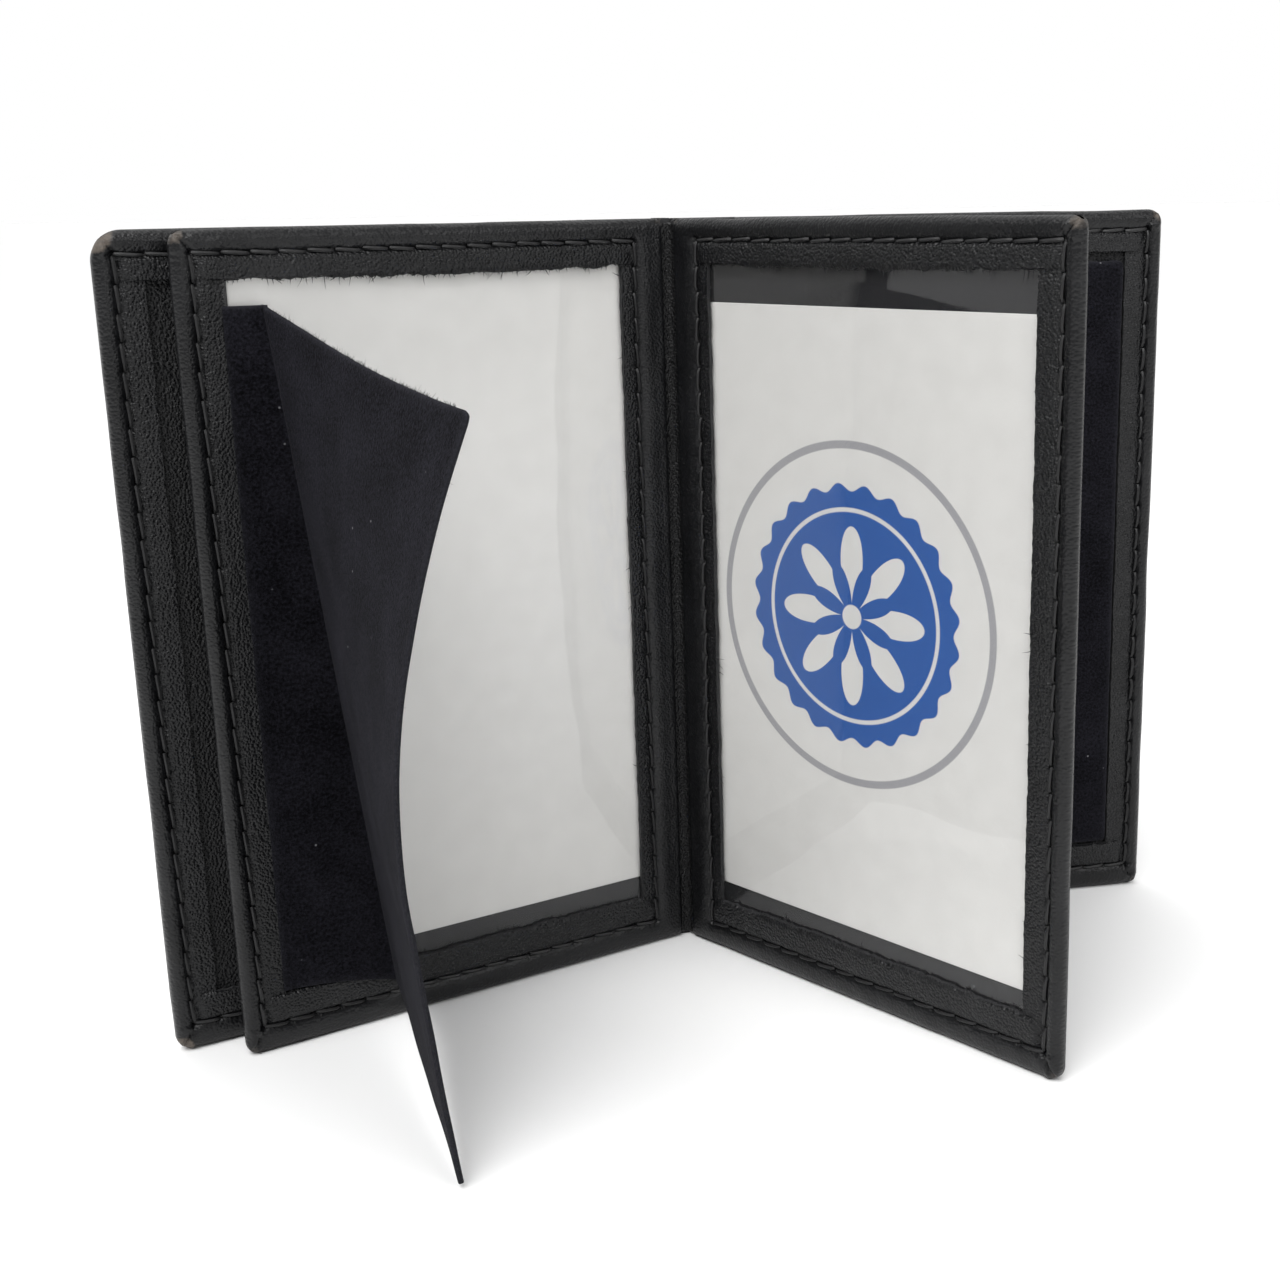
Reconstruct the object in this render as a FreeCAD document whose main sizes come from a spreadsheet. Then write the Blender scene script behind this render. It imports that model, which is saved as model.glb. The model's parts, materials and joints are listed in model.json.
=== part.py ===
import FreeCAD, Part
import os

# Double identity-card case in black leather: two covers and two windowed leaves that turn about one
# spine, standing open on their lower edges.  Millimetres, +Z up, floor at z = 0.
# Every leaf is laid out in its own frame: X runs from the spine axis outwards, Z runs up, and depth
# is counted from the spine's middle plane towards the back of the leaf.

os.makedirs("parts", exist_ok=True)
doc = FreeCAD.newDocument("card_case")
sheet = doc.addObject("Spreadsheet::Sheet", "P")
SIZES = [
    # overall
    ("case_height", 114.3), ("leaf_width", 71.5), ("cover_width", 79.75),
    # where the spine axis stands, so that the open case is centred on the origin
    ("spine_x", -2.538), ("spine_y", 30.2312),
    # how far each leaf stands from the closed position, in degrees
    ("left_leaf_angle", 58.6), ("right_leaf_angle", 44.9),
    ("left_cover_lag", 2.8), ("right_cover_lag", 54.6),
    # clearances between the leaves
    ("front_gap", 0.45), ("back_gap", 0.4),
    # layers of a windowed leaf
    ("strip_thick", 0.8), ("vinyl_thick", 0.25), ("card_thick", 0.3), ("card_play", 0.1),
    ("backing_thick", 0.35), ("leaf_leather", 0.7),
    # layers of a cover
    ("panel_thick", 0.6), ("board_thick", 0.6), ("cover_leather", 0.8),
    # widths round the windows
    ("leaf_start", 3.2), ("cover_start", 11.0), ("spine_border", 4.4), ("outer_border", 6.2),
    ("top_border", 6.6), ("bottom_border", 8.2), ("corner_radius", 2.2),
    # stitching
    ("stitch_spine", 2.0), ("stitch_outer", 2.6), ("stitch_top", 3.2), ("stitch_bottom", 4.0),
    ("thread_wide", 0.5), ("thread_deep", 0.4), ("thread_fit", 0.05), ("hem_past", 0.6),
    ("cover_hem_spine", 1.2), ("vinyl_edge", 0.8), ("inlay_fit", 0.1),
    # cards: how far their edges lie from the pocket's sides, from the floor and from the case's top
    ("card_side", 0.4), ("left_card_side", 3.8), ("right_card_side", 0.6),
    ("left_card_foot", 11.7), ("left_card_top", 5.6),
    ("right_card_foot", 11.2), ("right_card_top", 12.1),
    # felt flaps
    ("felt_thick", 0.8), ("flap_proud", 0.3), ("root_foot", 16.1), ("crease_tilt", 6.6),
    ("flap_foot_gap", 0.4), ("flap_top_gap", 3.3), ("flap_side", 0.8), ("flap_open", 103.0),
    ("root_edge", 0.2), ("cover_flap_felt", 0.7), ("cover_flap_proud", 0.1),
    ("cover_flap_side", 0.3), ("cover_flap_top", 1.3), ("cover_flap_foot", 0.5),
    # spine
    ("tab_thick", 1.6), ("tab_clear", 0.1), ("wrap_clear", 0.1),
]
for row, (alias, value) in enumerate(SIZES, start=1):
    sheet.set("A%d" % row, alias)
    sheet.set("B%d" % row, str(value))
    sheet.setAlias("B%d" % row, alias)
doc.recompute()


def px(text):
    """Write @name as a reference to the size called name."""
    return text.replace("@", "P.")


# Depths of the layers, from the spine's middle plane.
LEAF_FRONT = "@front_gap"
LEAF_VINYL = "(@front_gap + @strip_thick)"
LEAF_POCKET = "(@front_gap + @strip_thick + @vinyl_thick)"
LEAF_CARD = "(@front_gap + @strip_thick + @vinyl_thick + @card_play)"
LEAF_BACKING = "(@front_gap + @strip_thick + @vinyl_thick + @card_thick + 2 * @card_play)"
LEAF_LEATHER = ("(@front_gap + @strip_thick + @vinyl_thick + @card_thick + 2 * @card_play"
                " + @backing_thick)")
LEAF_BACK = ("(@front_gap + @strip_thick + @vinyl_thick + @card_thick + 2 * @card_play"
             " + @backing_thick + @leaf_leather)")
COVER_FRONT = "(" + LEAF_BACK + " + @back_gap)"
COVER_PANEL = "(" + COVER_FRONT + " + @strip_thick)"
COVER_BOARD = "(" + COVER_PANEL + " + @panel_thick)"
COVER_LEATHER = "(" + COVER_BOARD + " + @board_thick)"
COVER_BACK = "(" + COVER_LEATHER + " + @cover_leather)"

# The left leaf's felt flap, in its leaf: where its crease meets its lower edge, and its height and reach.
CREASE_FOOT = "(@leaf_width - @outer_border - @root_foot)"
FLAP_FOOT = "(@bottom_border + @flap_foot_gap)"
FLAP_HEIGHT = "(@case_height - @top_border - @flap_top_gap - " + FLAP_FOOT + ")"
FLAP_REACH = "(" + CREASE_FOOT + " - @leaf_start - @spine_border - @flap_side)"

# Direction of each leaf, as a turn about +Z from +X, and the side its back lies on.
LEAVES = {
    "left_leaf": (-1, "(-90 - @left_leaf_angle)"),
    "left_cover": (-1, "(-90 - @left_leaf_angle - @left_cover_lag)"),
    "right_leaf": (1, "(@right_leaf_angle - 90)"),
    "right_cover": (1, "(@right_leaf_angle + @right_cover_lag - 90)"),
}
nodes = []


def bind(obj, prop, text):
    obj.setExpression(prop, px(text))


def stand(obj, turn):
    """Turn a leaf's piece about the spine axis and carry it to where that axis stands."""
    obj.Placement = FreeCAD.Placement(
        FreeCAD.Vector(0, 0, 0), FreeCAD.Rotation(FreeCAD.Vector(0, 0, 1), 10))
    bind(obj, "Placement.Base.x", "@spine_x")
    bind(obj, "Placement.Base.y", "@spine_y")
    bind(obj, "Placement.Rotation.Angle", turn)


def origin_plane(body, role):
    for feature in body.Origin.OriginFeatures:
        if feature.Role == role:
            return feature
    raise ValueError(role)


def outline(body, name, corners, side, depth):
    """A closed outline of straight edges on the leaf's XZ plane, each corner tied to its sizes."""
    sketch = body.newObject("Sketcher::SketchObject", name)
    sketch.AttachmentSupport = (origin_plane(body, "XZ_Plane"), [""])
    sketch.MapMode = "FlatFace"
    bind(sketch, "AttachmentOffset.Base.z", depth if side < 0 else "-(" + depth + ")")
    count = len(corners)
    turn = [(-20, -20), (20, -20), (20, 20), (-20, 20)]
    for i in range(count):
        start = turn[i]
        end = turn[(i + 1) % count]
        sketch.addGeometry(Part.LineSegment(
            FreeCAD.Vector(start[0], start[1], 0), FreeCAD.Vector(end[0], end[1], 0)), False)
    import Sketcher
    for i in range(count):
        sketch.addConstraint(Sketcher.Constraint("Coincident", i, 2, (i + 1) % count, 1))
    for i, (across, up) in enumerate(corners):
        number = sketch.addConstraint(Sketcher.Constraint("DistanceX", -1, 1, i, 1, turn[i][0]))
        sketch.setExpression("Constraints[%d]" % number, px(across))
        number = sketch.addConstraint(Sketcher.Constraint("DistanceY", -1, 1, i, 1, turn[i][1]))
        sketch.setExpression("Constraints[%d]" % number, px(up))
    return sketch


def pad(body, name, sketch, side, thick):
    """Thicken an outline towards the back of its leaf."""
    feature = body.newObject("PartDesign::Pad", name)
    feature.Profile = sketch
    bind(feature, "Length", thick)
    feature.Reversed = side > 0
    body.Tip = feature
    return feature


def box_outline(low, high, foot, top):
    return [(low, foot), (high, foot), (high, top), (low, top)]


def round_corners(body, name, base, wanted, radius="@corner_radius"):
    """Round the edges that run through the thickness at the wanted (X, Z) corners."""
    doc.recompute()
    picked = []
    back = body.Placement.inverse().toMatrix()
    shape = base.Shape.copy()
    for number, edge in enumerate(shape.Edges, start=1):
        ends = [vertex.Point for vertex in edge.Vertexes]
        if len(ends) != 2:
            continue
        if abs(ends[0].x - ends[1].x) > 1e-6 or abs(ends[0].z - ends[1].z) > 1e-6:
            continue
        for across, up in wanted:
            if abs(ends[0].x - across) < 1e-4 and abs(ends[0].z - up) < 1e-4:
                picked.append("Edge%d" % number)
    fillet = body.newObject("PartDesign::Fillet", name)
    fillet.Base = (base, picked)
    bind(fillet, "Radius", radius)
    body.Tip = fillet
    return fillet


def value(text):
    """The number an expression of the named sizes comes to."""
    numbers = {alias: float(sheet.get(alias)) for alias, _ in SIZES}
    for alias in sorted(numbers, key=len, reverse=True):
        text = text.replace("@" + alias, "%.9f" % numbers[alias])
    total = FreeCAD.Units.Quantity(text)
    return float(total.Value)


def leaf_plate(label, leaf, low, high, foot, top, depth, thick, rounded=()):
    """A flat piece of one leaf, with the named corners rounded."""
    side, turn = LEAVES[leaf]
    body = doc.addObject("PartDesign::Body", label)
    body.Label = label
    sketch = outline(body, label + "_outline", box_outline(low, high, foot, top), side, depth)
    feature = pad(body, label + "_pad", sketch, side, thick)
    if rounded:
        wanted = [(value(across), value(up)) for across, up in rounded]
        feature = round_corners(body, label + "_corners", feature, wanted)
    stand(body, turn)
    nodes.append(body)
    return body


def tray(label, leaf, low, high, foot, top, depth, thick, hem, floor, rounded):
    """Leather turned over its edges: a plate with a raised hem all round its front."""
    side, turn = LEAVES[leaf]
    body = doc.addObject("PartDesign::Body", label)
    body.Label = label
    sketch = outline(body, label + "_outline", box_outline(low, high, foot, top), side, depth)
    plate = pad(body, label + "_pad", sketch, side, thick)
    doc.recompute()
    full = plate.Shape.Volume
    hem_low, hem_high, hem_foot, hem_top = hem
    inner = outline(body, label + "_well", box_outline(
        low + " + " + hem_low, high + " - " + hem_high, foot + " + " + hem_foot,
        top + " - " + hem_top), side, depth)
    well = body.newObject("PartDesign::Pocket", label + "_pocket")
    well.Profile = inner
    bind(well, "Length", floor)
    well.Reversed = side < 0
    body.Tip = well
    doc.recompute()
    if abs(well.Shape.Volume - full) < 1.0:
        well.Reversed = not well.Reversed
        doc.recompute()
    wanted = [(value(across), value(up)) for across, up in rounded]
    round_corners(body, label + "_corners", well, wanted)
    stand(body, turn)
    nodes.append(body)
    return body


def local_box(label, low, high, foot, top, side, depth, thick):
    """A plain block in a leaf's own frame."""
    box = doc.addObject("Part::Box", label)
    bind(box, "Length", "(" + high + ") - (" + low + ")")
    bind(box, "Width", thick)
    bind(box, "Height", "(" + top + ") - (" + foot + ")")
    bind(box, "Placement.Base.x", low)
    across = depth if side > 0 else "-((" + depth + ") + (" + thick + "))"
    bind(box, "Placement.Base.y", across)
    bind(box, "Placement.Base.z", foot)
    return box


def ring(label, side, start, width, front, grow, thick):
    """The closed path of the stitching, as a square-edged band; grow widens it on both sides."""
    half = "(@thread_wide / 2 + " + grow + ")"
    mid_low = "(" + start + " + @stitch_spine)"
    mid_high = "(" + width + " - @stitch_outer)"
    mid_foot = "@stitch_bottom"
    mid_top = "(@case_height - @stitch_top)"
    outer = local_box(label + "_outside", mid_low + " - " + half, mid_high + " + " + half,
                      mid_foot + " - " + half, mid_top + " + " + half, side, front, thick)
    inner = local_box(label + "_inside", mid_low + " + " + half, mid_high + " - " + half,
                      mid_foot + " + " + half, mid_top + " - " + half, side,
                      front + " - 1", thick + " + 2")
    band = doc.addObject("Part::Cut", label)
    band.Base = outer
    band.Tool = inner
    return band


def frame_of_strips(leaf, start, width, front):
    """Four leather strips round the face of a leaf, grooved for the thread that sews them down."""
    side, turn = LEAVES[leaf]
    groove = ring(leaf + "_groove", side, start, width, front + " - 1",
                  "@thread_fit", "1 + @thread_deep + @thread_fit")
    low_side = start + " + @spine_border"
    high_side = width + " - @outer_border"
    window_top = "@case_height - @top_border"
    strips = {
        "top": (start, width, window_top, "@case_height"),
        "bottom": (start, width, "0", "@bottom_border"),
        "spine": (start, low_side, "@bottom_border", window_top),
        "outer": (high_side, width, "@bottom_border", window_top),
    }
    for name, (low, high, foot, top) in strips.items():
        label = leaf + "_strip_" + name
        block = local_box(label + "_block", low, high, foot, top, side, front, "@strip_thick")
        if name in ("top", "bottom"):
            doc.recompute()
            corner = block.Shape.BoundBox.ZMax if name == "top" else block.Shape.BoundBox.ZMin
            edge = 0
            for number, candidate in enumerate(block.Shape.Edges, start=1):
                ends = [vertex.Point for vertex in candidate.Vertexes]
                runs_through = abs(ends[0].y - ends[1].y) > 0.1
                at_end = abs(ends[0].x - value(width)) < 1e-4 and abs(ends[0].z - corner) < 1e-4
                if runs_through and at_end:
                    edge = number
            rounded = doc.addObject("Part::Fillet", label + "_rounded")
            rounded.Base = block
            radius = value("@corner_radius")
            rounded.Edges = [(edge, radius, radius)]
            block = rounded
        cut = doc.addObject("Part::Cut", label)
        cut.Label = label
        cut.Base = block
        cut.Tool = groove
        stand(cut, turn)
        nodes.append(cut)
    thread = ring(leaf + "_thread", side, start, width, front, "0", "@thread_deep")
    thread.Label = leaf + "_thread"
    stand(thread, turn)
    nodes.append(thread)


def windowed_leaf(side_name):
    """One leaf with a clear window, the card behind it, a backing and the turned leather back."""
    leaf = side_name + "_leaf"
    frame_of_strips(leaf, "@leaf_start", "@leaf_width", LEAF_FRONT)
    leaf_plate(side_name + "_window", leaf, "@leaf_start + @vinyl_edge", "@leaf_width - @vinyl_edge",
               "@vinyl_edge", "@case_height - @vinyl_edge", LEAF_VINYL, "@vinyl_thick")
    hem = ("@stitch_spine + @hem_past", "@stitch_outer + @hem_past",
           "@stitch_bottom + @hem_past", "@stitch_top + @hem_past")
    tray(leaf + "_back", leaf, "@leaf_start", "@leaf_width", "0", "@case_height",
         LEAF_POCKET, LEAF_BACK + " - " + LEAF_POCKET, hem,
         LEAF_LEATHER + " - " + LEAF_POCKET,
         [("@leaf_width", "0"), ("@leaf_width", "@case_height")])
    leaf_plate(side_name + "_backing", leaf, "@leaf_start + " + hem[0] + " + @inlay_fit",
               "@leaf_width - (" + hem[1] + ") - @inlay_fit", hem[2] + " + @inlay_fit",
               "@case_height - (" + hem[3] + ") - @inlay_fit", LEAF_BACKING, "@backing_thick")
    card = side_name + "_card"
    leaf_plate(card, leaf, "@leaf_start + " + hem[0] + " + @card_side",
               "@leaf_width - (" + hem[1] + ") - @" + card + "_side",
               "@" + card + "_foot", "@case_height - @" + card + "_top", LEAF_CARD, "@card_thick")


def cover(side_name):
    """One stiff cover: outer leather turned over a board, a lining panel and a sewn frame."""
    leaf = side_name + "_cover"
    frame_of_strips(leaf, "@cover_start", "@cover_width", COVER_FRONT)
    hem = ("@cover_hem_spine", "@stitch_outer + @hem_past", "@stitch_bottom + @hem_past",
           "@stitch_top + @hem_past")
    tray(leaf + "_leather", leaf, "@cover_start", "@cover_width", "0", "@case_height",
         COVER_PANEL, COVER_BACK + " - " + COVER_PANEL, hem,
         COVER_LEATHER + " - " + COVER_PANEL,
         [("@cover_width", "0"), ("@cover_width", "@case_height")])
    inside = ("@cover_start + " + hem[0] + " + @inlay_fit", "@cover_width - (" + hem[1] + ") - @inlay_fit",
              hem[2] + " + @inlay_fit", "@case_height - (" + hem[3] + ") - @inlay_fit")
    leaf_plate(leaf + "_panel", leaf, inside[0], inside[1], inside[2], inside[3],
               COVER_PANEL, "@panel_thick")
    leaf_plate(leaf + "_board", leaf, inside[0], inside[1], inside[2], inside[3],
               COVER_BOARD, "@board_thick")


def wrap(label, inner, outer, reach, right_turn, left_turn):
    """Leather bent round the spine: a short arc with a straight flank to each side."""
    right = doc.addObject("Part::Box", label + "_right_flank")
    bind(right, "Length", reach)
    bind(right, "Width", outer + " - " + inner)
    bind(right, "Height", "@case_height")
    right.Placement = FreeCAD.Placement(
        FreeCAD.Vector(0, 0, 0), FreeCAD.Rotation(FreeCAD.Vector(0, 0, 1), 10))
    bind(right, "Placement.Rotation.Angle", right_turn + " - 90")
    bind(right, "Placement.Base.x", "(" + inner + ") * cos(" + right_turn + ")")
    bind(right, "Placement.Base.y", "(" + inner + ") * sin(" + right_turn + ")")
    left = doc.addObject("Part::Box", label + "_left_flank")
    bind(left, "Length", reach)
    bind(left, "Width", outer + " - " + inner)
    bind(left, "Height", "@case_height")
    left.Placement = FreeCAD.Placement(
        FreeCAD.Vector(0, 0, 0), FreeCAD.Rotation(FreeCAD.Vector(0, 0, 1), 10))
    # the left flank runs outwards along its leaf, so its far corner is the one placed
    bind(left, "Placement.Rotation.Angle", "90 + (180 - " + left_turn + ") - 180")
    reach_x = "(" + reach + ") * cos(" + "90 + (180 - " + left_turn + ") - 180)"
    reach_y = "(" + reach + ") * sin(" + "90 + (180 - " + left_turn + ") - 180)"
    bind(left, "Placement.Base.x",
         "-(" + inner + ") * cos(" + left_turn + ") - " + reach_x)
    bind(left, "Placement.Base.y",
         "(" + inner + ") * sin(" + left_turn + ") - " + reach_y)
    full = doc.addObject("Part::Cylinder", label + "_bend")
    bind(full, "Radius", outer)
    bind(full, "Height", "@case_height")
    bind(full, "Angle", "180 - " + left_turn + " - " + right_turn)
    full.Placement = FreeCAD.Placement(
        FreeCAD.Vector(0, 0, 0), FreeCAD.Rotation(FreeCAD.Vector(0, 0, 1), 10))
    bind(full, "Placement.Rotation.Angle", right_turn)
    core = doc.addObject("Part::Cylinder", label + "_core")
    bind(core, "Radius", inner)
    bind(core, "Height", "@case_height")
    bend = doc.addObject("Part::Cut", label + "_arc")
    bend.Base = full
    bend.Tool = core
    whole = doc.addObject("Part::MultiFuse", label)
    whole.Label = label
    whole.Shapes = [right, bend, left]
    whole.Refine = True
    bind(whole, "Placement.Base.x", "@spine_x")
    bind(whole, "Placement.Base.y", "@spine_y")
    nodes.append(whole)
    return whole


# The two windowed leaves and the two covers.
windowed_leaf("left")
windowed_leaf("right")
cover("left")
cover("right")

# The spine: leather inside, leather outside, and the tab that holds the leaves between them.
LEFT_COVER = "(@left_leaf_angle + @left_cover_lag)"
RIGHT_COVER = "(@right_leaf_angle + @right_cover_lag)"
wrap("inner_spine_leather", LEAF_FRONT, LEAF_VINYL, "@leaf_start - @wrap_clear",
     "@right_leaf_angle", "@left_leaf_angle")
wrap("cover_spine_leather", COVER_LEATHER, COVER_BACK, "@cover_start - @wrap_clear",
     RIGHT_COVER, LEFT_COVER)
tab = doc.addObject("Part::Box", "spine_tab")
tab.Label = "spine_tab"
TAB_TURN = "((" + RIGHT_COVER + " + 180 - " + LEFT_COVER + ") / 2)"
bind(tab, "Length", COVER_LEATHER + " - " + LEAF_VINYL + " - 2 * @tab_clear")
bind(tab, "Width", "@tab_thick")
bind(tab, "Height", "@case_height")
tab.Placement = FreeCAD.Placement(
    FreeCAD.Vector(0, 0, 0), FreeCAD.Rotation(FreeCAD.Vector(0, 0, 1), 10))
bind(tab, "Placement.Rotation.Angle", TAB_TURN)
bind(tab, "Placement.Base.x", "@spine_x + (" + LEAF_VINYL + " + @tab_clear) * cos(" + TAB_TURN
     + ") + @tab_thick / 2 * sin(" + TAB_TURN + ")")
bind(tab, "Placement.Base.y", "@spine_y + (" + LEAF_VINYL + " + @tab_clear) * sin(" + TAB_TURN
     + ") - @tab_thick / 2 * cos(" + TAB_TURN + ")")
nodes.append(tab)

# The left leaf's felt flap: its root is sewn under the outer strip, and it turns about a crease
# that leans outwards towards the top.
side, turn = LEAVES["left_leaf"]
root = doc.addObject("PartDesign::Body", "left_flap_root")
root.Label = "left_flap_root"
root_outline = outline(root, "left_flap_root_outline", [
    (CREASE_FOOT + " + @root_edge", FLAP_FOOT),
    ("@leaf_width - @outer_border", FLAP_FOOT),
    ("@leaf_width - @outer_border", FLAP_FOOT + " + " + FLAP_HEIGHT),
    (CREASE_FOOT + " + @root_edge + " + FLAP_HEIGHT + " * tan(@crease_tilt)",
     FLAP_FOOT + " + " + FLAP_HEIGHT),
], side, LEAF_FRONT)
pad(root, "left_flap_root_pad", root_outline, side, "@strip_thick")
stand(root, turn)
nodes.append(root)

flap = doc.addObject("PartDesign::Body", "left_flap")
flap.Label = "left_flap"
flap_outline = outline(flap, "left_flap_outline", [
    ("0", "0"),
    ("0", FLAP_HEIGHT + " / cos(@crease_tilt)"),
    ("-" + FLAP_REACH + " * cos(@crease_tilt) - " + FLAP_HEIGHT + " * sin(@crease_tilt)",
     FLAP_HEIGHT + " * cos(@crease_tilt) - " + FLAP_REACH + " * sin(@crease_tilt)"),
    ("-" + FLAP_REACH + " * cos(@crease_tilt)", "-" + FLAP_REACH + " * sin(@crease_tilt)"),
], side, "0")
pad(flap, "left_flap_pad", flap_outline, side, "@felt_thick")
flap_turn = ("rotation(vector(0; 0; 1); " + turn + ") * rotation(vector(0; 1; 0); @crease_tilt)"
             " * rotation(vector(0; 0; 1); -@flap_open)")
hinge_depth = "(@front_gap - @flap_proud)"
flap_x = "@spine_x + " + CREASE_FOOT + " * cos(" + turn + ") + " + hinge_depth + " * sin(" + turn + ")"
flap_y = "@spine_y + " + CREASE_FOOT + " * sin(" + turn + ") - " + hinge_depth + " * cos(" + turn + ")"
bind(flap, "Placement", "placement(vector(" + flap_x + "; " + flap_y + "; " + FLAP_FOOT + "); "
     + flap_turn + ")")
nodes.append(flap)

# The right cover's felt flap lies shut in its frame and turns about the frame's outer strip.
leaf_plate("right_flap", "right_cover",
           "@cover_start + @spine_border + @cover_flap_side",
           "@cover_width - @outer_border - @cover_flap_side",
           "@bottom_border + @cover_flap_foot",
           "@case_height - @top_border - @cover_flap_top",
           COVER_FRONT + " - @cover_flap_proud", "@cover_flap_felt")

doc.recompute()
bad = 0
for obj in doc.Objects:
    if "Invalid" in obj.State or "Error" in obj.State:
        print("not computed:", obj.Name, obj.State)
        bad += 1
for obj in nodes:
    shape = obj.Shape
    if shape.isNull() or not shape.isValid() or shape.Volume <= 0:
        print("bad shape:", obj.Label)
        bad += 1
if bad:
    raise SystemExit("%d faults" % bad)
for obj in nodes:
    shape = obj.Shape
    shape.exportStep(os.path.join("parts", obj.Label + ".step"))
    box = shape.BoundBox
    print("%-28s solids %d  volume %9.1f  x %7.2f %7.2f  y %7.2f %7.2f  z %7.2f %7.2f" % (
        obj.Label, len(shape.Solids), shape.Volume,
        box.XMin, box.XMax, box.YMin, box.YMax, box.ZMin, box.ZMax))
low = [min(getattr(obj.Shape.BoundBox, key) for obj in nodes) for key in ("XMin", "YMin", "ZMin")]
high = [max(getattr(obj.Shape.BoundBox, key) for obj in nodes) for key in ("XMax", "YMax", "ZMax")]
print("nodes", len(nodes), "low", [round(v, 4) for v in low], "high", [round(v, 4) for v in high])
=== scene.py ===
import json
import math

import bmesh
import bpy
import numpy as np
from mathutils import Matrix, Vector


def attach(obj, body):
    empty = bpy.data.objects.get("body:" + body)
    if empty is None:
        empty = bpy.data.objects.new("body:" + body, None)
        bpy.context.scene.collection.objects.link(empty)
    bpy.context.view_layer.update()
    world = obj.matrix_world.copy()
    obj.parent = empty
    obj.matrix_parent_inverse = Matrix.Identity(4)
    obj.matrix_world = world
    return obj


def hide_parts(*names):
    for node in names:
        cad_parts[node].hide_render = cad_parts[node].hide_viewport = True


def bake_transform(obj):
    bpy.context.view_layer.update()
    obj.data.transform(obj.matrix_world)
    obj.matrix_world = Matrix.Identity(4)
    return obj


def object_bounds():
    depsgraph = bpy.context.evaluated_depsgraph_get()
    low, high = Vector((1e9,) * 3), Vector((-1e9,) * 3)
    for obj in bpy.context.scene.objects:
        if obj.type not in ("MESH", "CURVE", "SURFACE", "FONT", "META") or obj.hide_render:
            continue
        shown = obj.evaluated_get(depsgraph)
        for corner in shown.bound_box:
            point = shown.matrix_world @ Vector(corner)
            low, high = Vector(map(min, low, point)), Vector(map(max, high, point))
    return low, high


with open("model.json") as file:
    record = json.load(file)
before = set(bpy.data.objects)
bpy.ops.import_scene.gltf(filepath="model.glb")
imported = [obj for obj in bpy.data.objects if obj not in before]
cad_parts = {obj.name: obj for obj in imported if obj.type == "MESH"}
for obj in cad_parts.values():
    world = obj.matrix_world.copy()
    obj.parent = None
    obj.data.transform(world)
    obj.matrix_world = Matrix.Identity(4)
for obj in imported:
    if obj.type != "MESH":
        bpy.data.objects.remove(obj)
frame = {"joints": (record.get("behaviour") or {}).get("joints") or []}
cad_low, cad_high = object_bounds()
MM = 0.001

# ---- the frame's own sizes
# Lengths are in millimetres up to the point where a mesh is made.
JOINT = {j["name"]: j for j in frame["joints"]}
AXIS = np.array(JOINT["left_leaf_hinge"]["pos_m"]) / MM
LEFT = -JOINT["left_leaf_hinge"]["range_deg"][0]
RIGHT = -JOINT["right_leaf_hinge"]["range_deg"][0]
LEFT_LAG = -JOINT["left_cover_hinge"]["range_deg"][0]
RIGHT_LAG = -JOINT["right_cover_hinge"]["range_deg"][0]
SIDE = {"left_leaf": -1, "left_cover": -1, "right_leaf": 1, "right_cover": 1}
TURN = {
    "left_leaf": -90 - LEFT,
    "left_cover": -90 - LEFT - LEFT_LAG,
    "right_leaf": RIGHT - 90,
    "right_cover": RIGHT + RIGHT_LAG - 90,
}
HIGH = (cad_high.z - cad_low.z) / MM
LEAF_W, COVER_W = 71.5, 79.75
LEAF_FRONT, LEAF_T = 0.45, 2.6
COVER_FRONT, COVER_T = 3.45, 2.8
STRIP = 0.8
LEAF_POCKET, COVER_POCKET = 1.9, 2.0
PITCH = 3.7


def place(leaf, a, depth, z):
    """Points of a leaf's own frame (out from the spine, back from its middle plane, up) in the row frame."""
    t = math.radians(TURN[leaf])
    y = SIDE[leaf] * np.asarray(depth, float)
    a = np.asarray(a, float)
    x_row = AXIS[0] + a * math.cos(t) - y * math.sin(t)
    y_row = AXIS[1] + a * math.sin(t) + y * math.cos(t)
    return np.stack(np.broadcast_arrays(x_row, y_row, np.asarray(z, float)), -1)


def wave(a, z, size, seed, count=7):
    """Smooth unevenness between about -1 and 1, whose bumps are about size across."""
    r = np.random.default_rng(seed)
    total = 0.0
    for _ in range(count):
        way = r.uniform(0, 2 * math.pi)
        k = 2 * math.pi / (size * r.uniform(1.2, 3.0))
        total = total + np.sin(k * (np.cos(way) * a + np.sin(way) * z) + r.uniform(0, 6.28))
    return total / math.sqrt(count)


def smooth(x, low, high):
    t = np.clip((x - low) / (high - low), 0, 1)
    return t * t * (3 - 2 * t)


# ---- node materials
def new_material(name):
    m = bpy.data.materials.new(name)
    m.use_nodes = True
    t = m.node_tree
    t.nodes.clear()
    return m, t


def node(tree, kind, **values):
    n = tree.nodes.new(kind)
    for key, value in values.items():
        if key in n.inputs:
            n.inputs[key].default_value = value
        else:
            setattr(n, key, value)
    return n


def ramp(tree, stops, source=None):
    n = tree.nodes.new("ShaderNodeValToRGB")
    e = n.color_ramp.elements
    while len(e) < len(stops):
        e.new(0.5)
    for item, (pos, col) in zip(e, stops):
        item.position = pos
        item.color = (*col, 1.0) if len(col) == 3 else col
    if source is not None:
        tree.links.new(source, n.inputs["Fac"])
    return n


def math_node(tree, op, a, b=None, c=None, clamp=False):
    n = tree.nodes.new("ShaderNodeMath")
    n.operation = op
    n.use_clamp = clamp
    for i, v in enumerate((a, b, c)):
        if v is None:
            continue
        if isinstance(v, (int, float)):
            n.inputs[i].default_value = v
        else:
            tree.links.new(v, n.inputs[i])
    return n.outputs[0]


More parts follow.
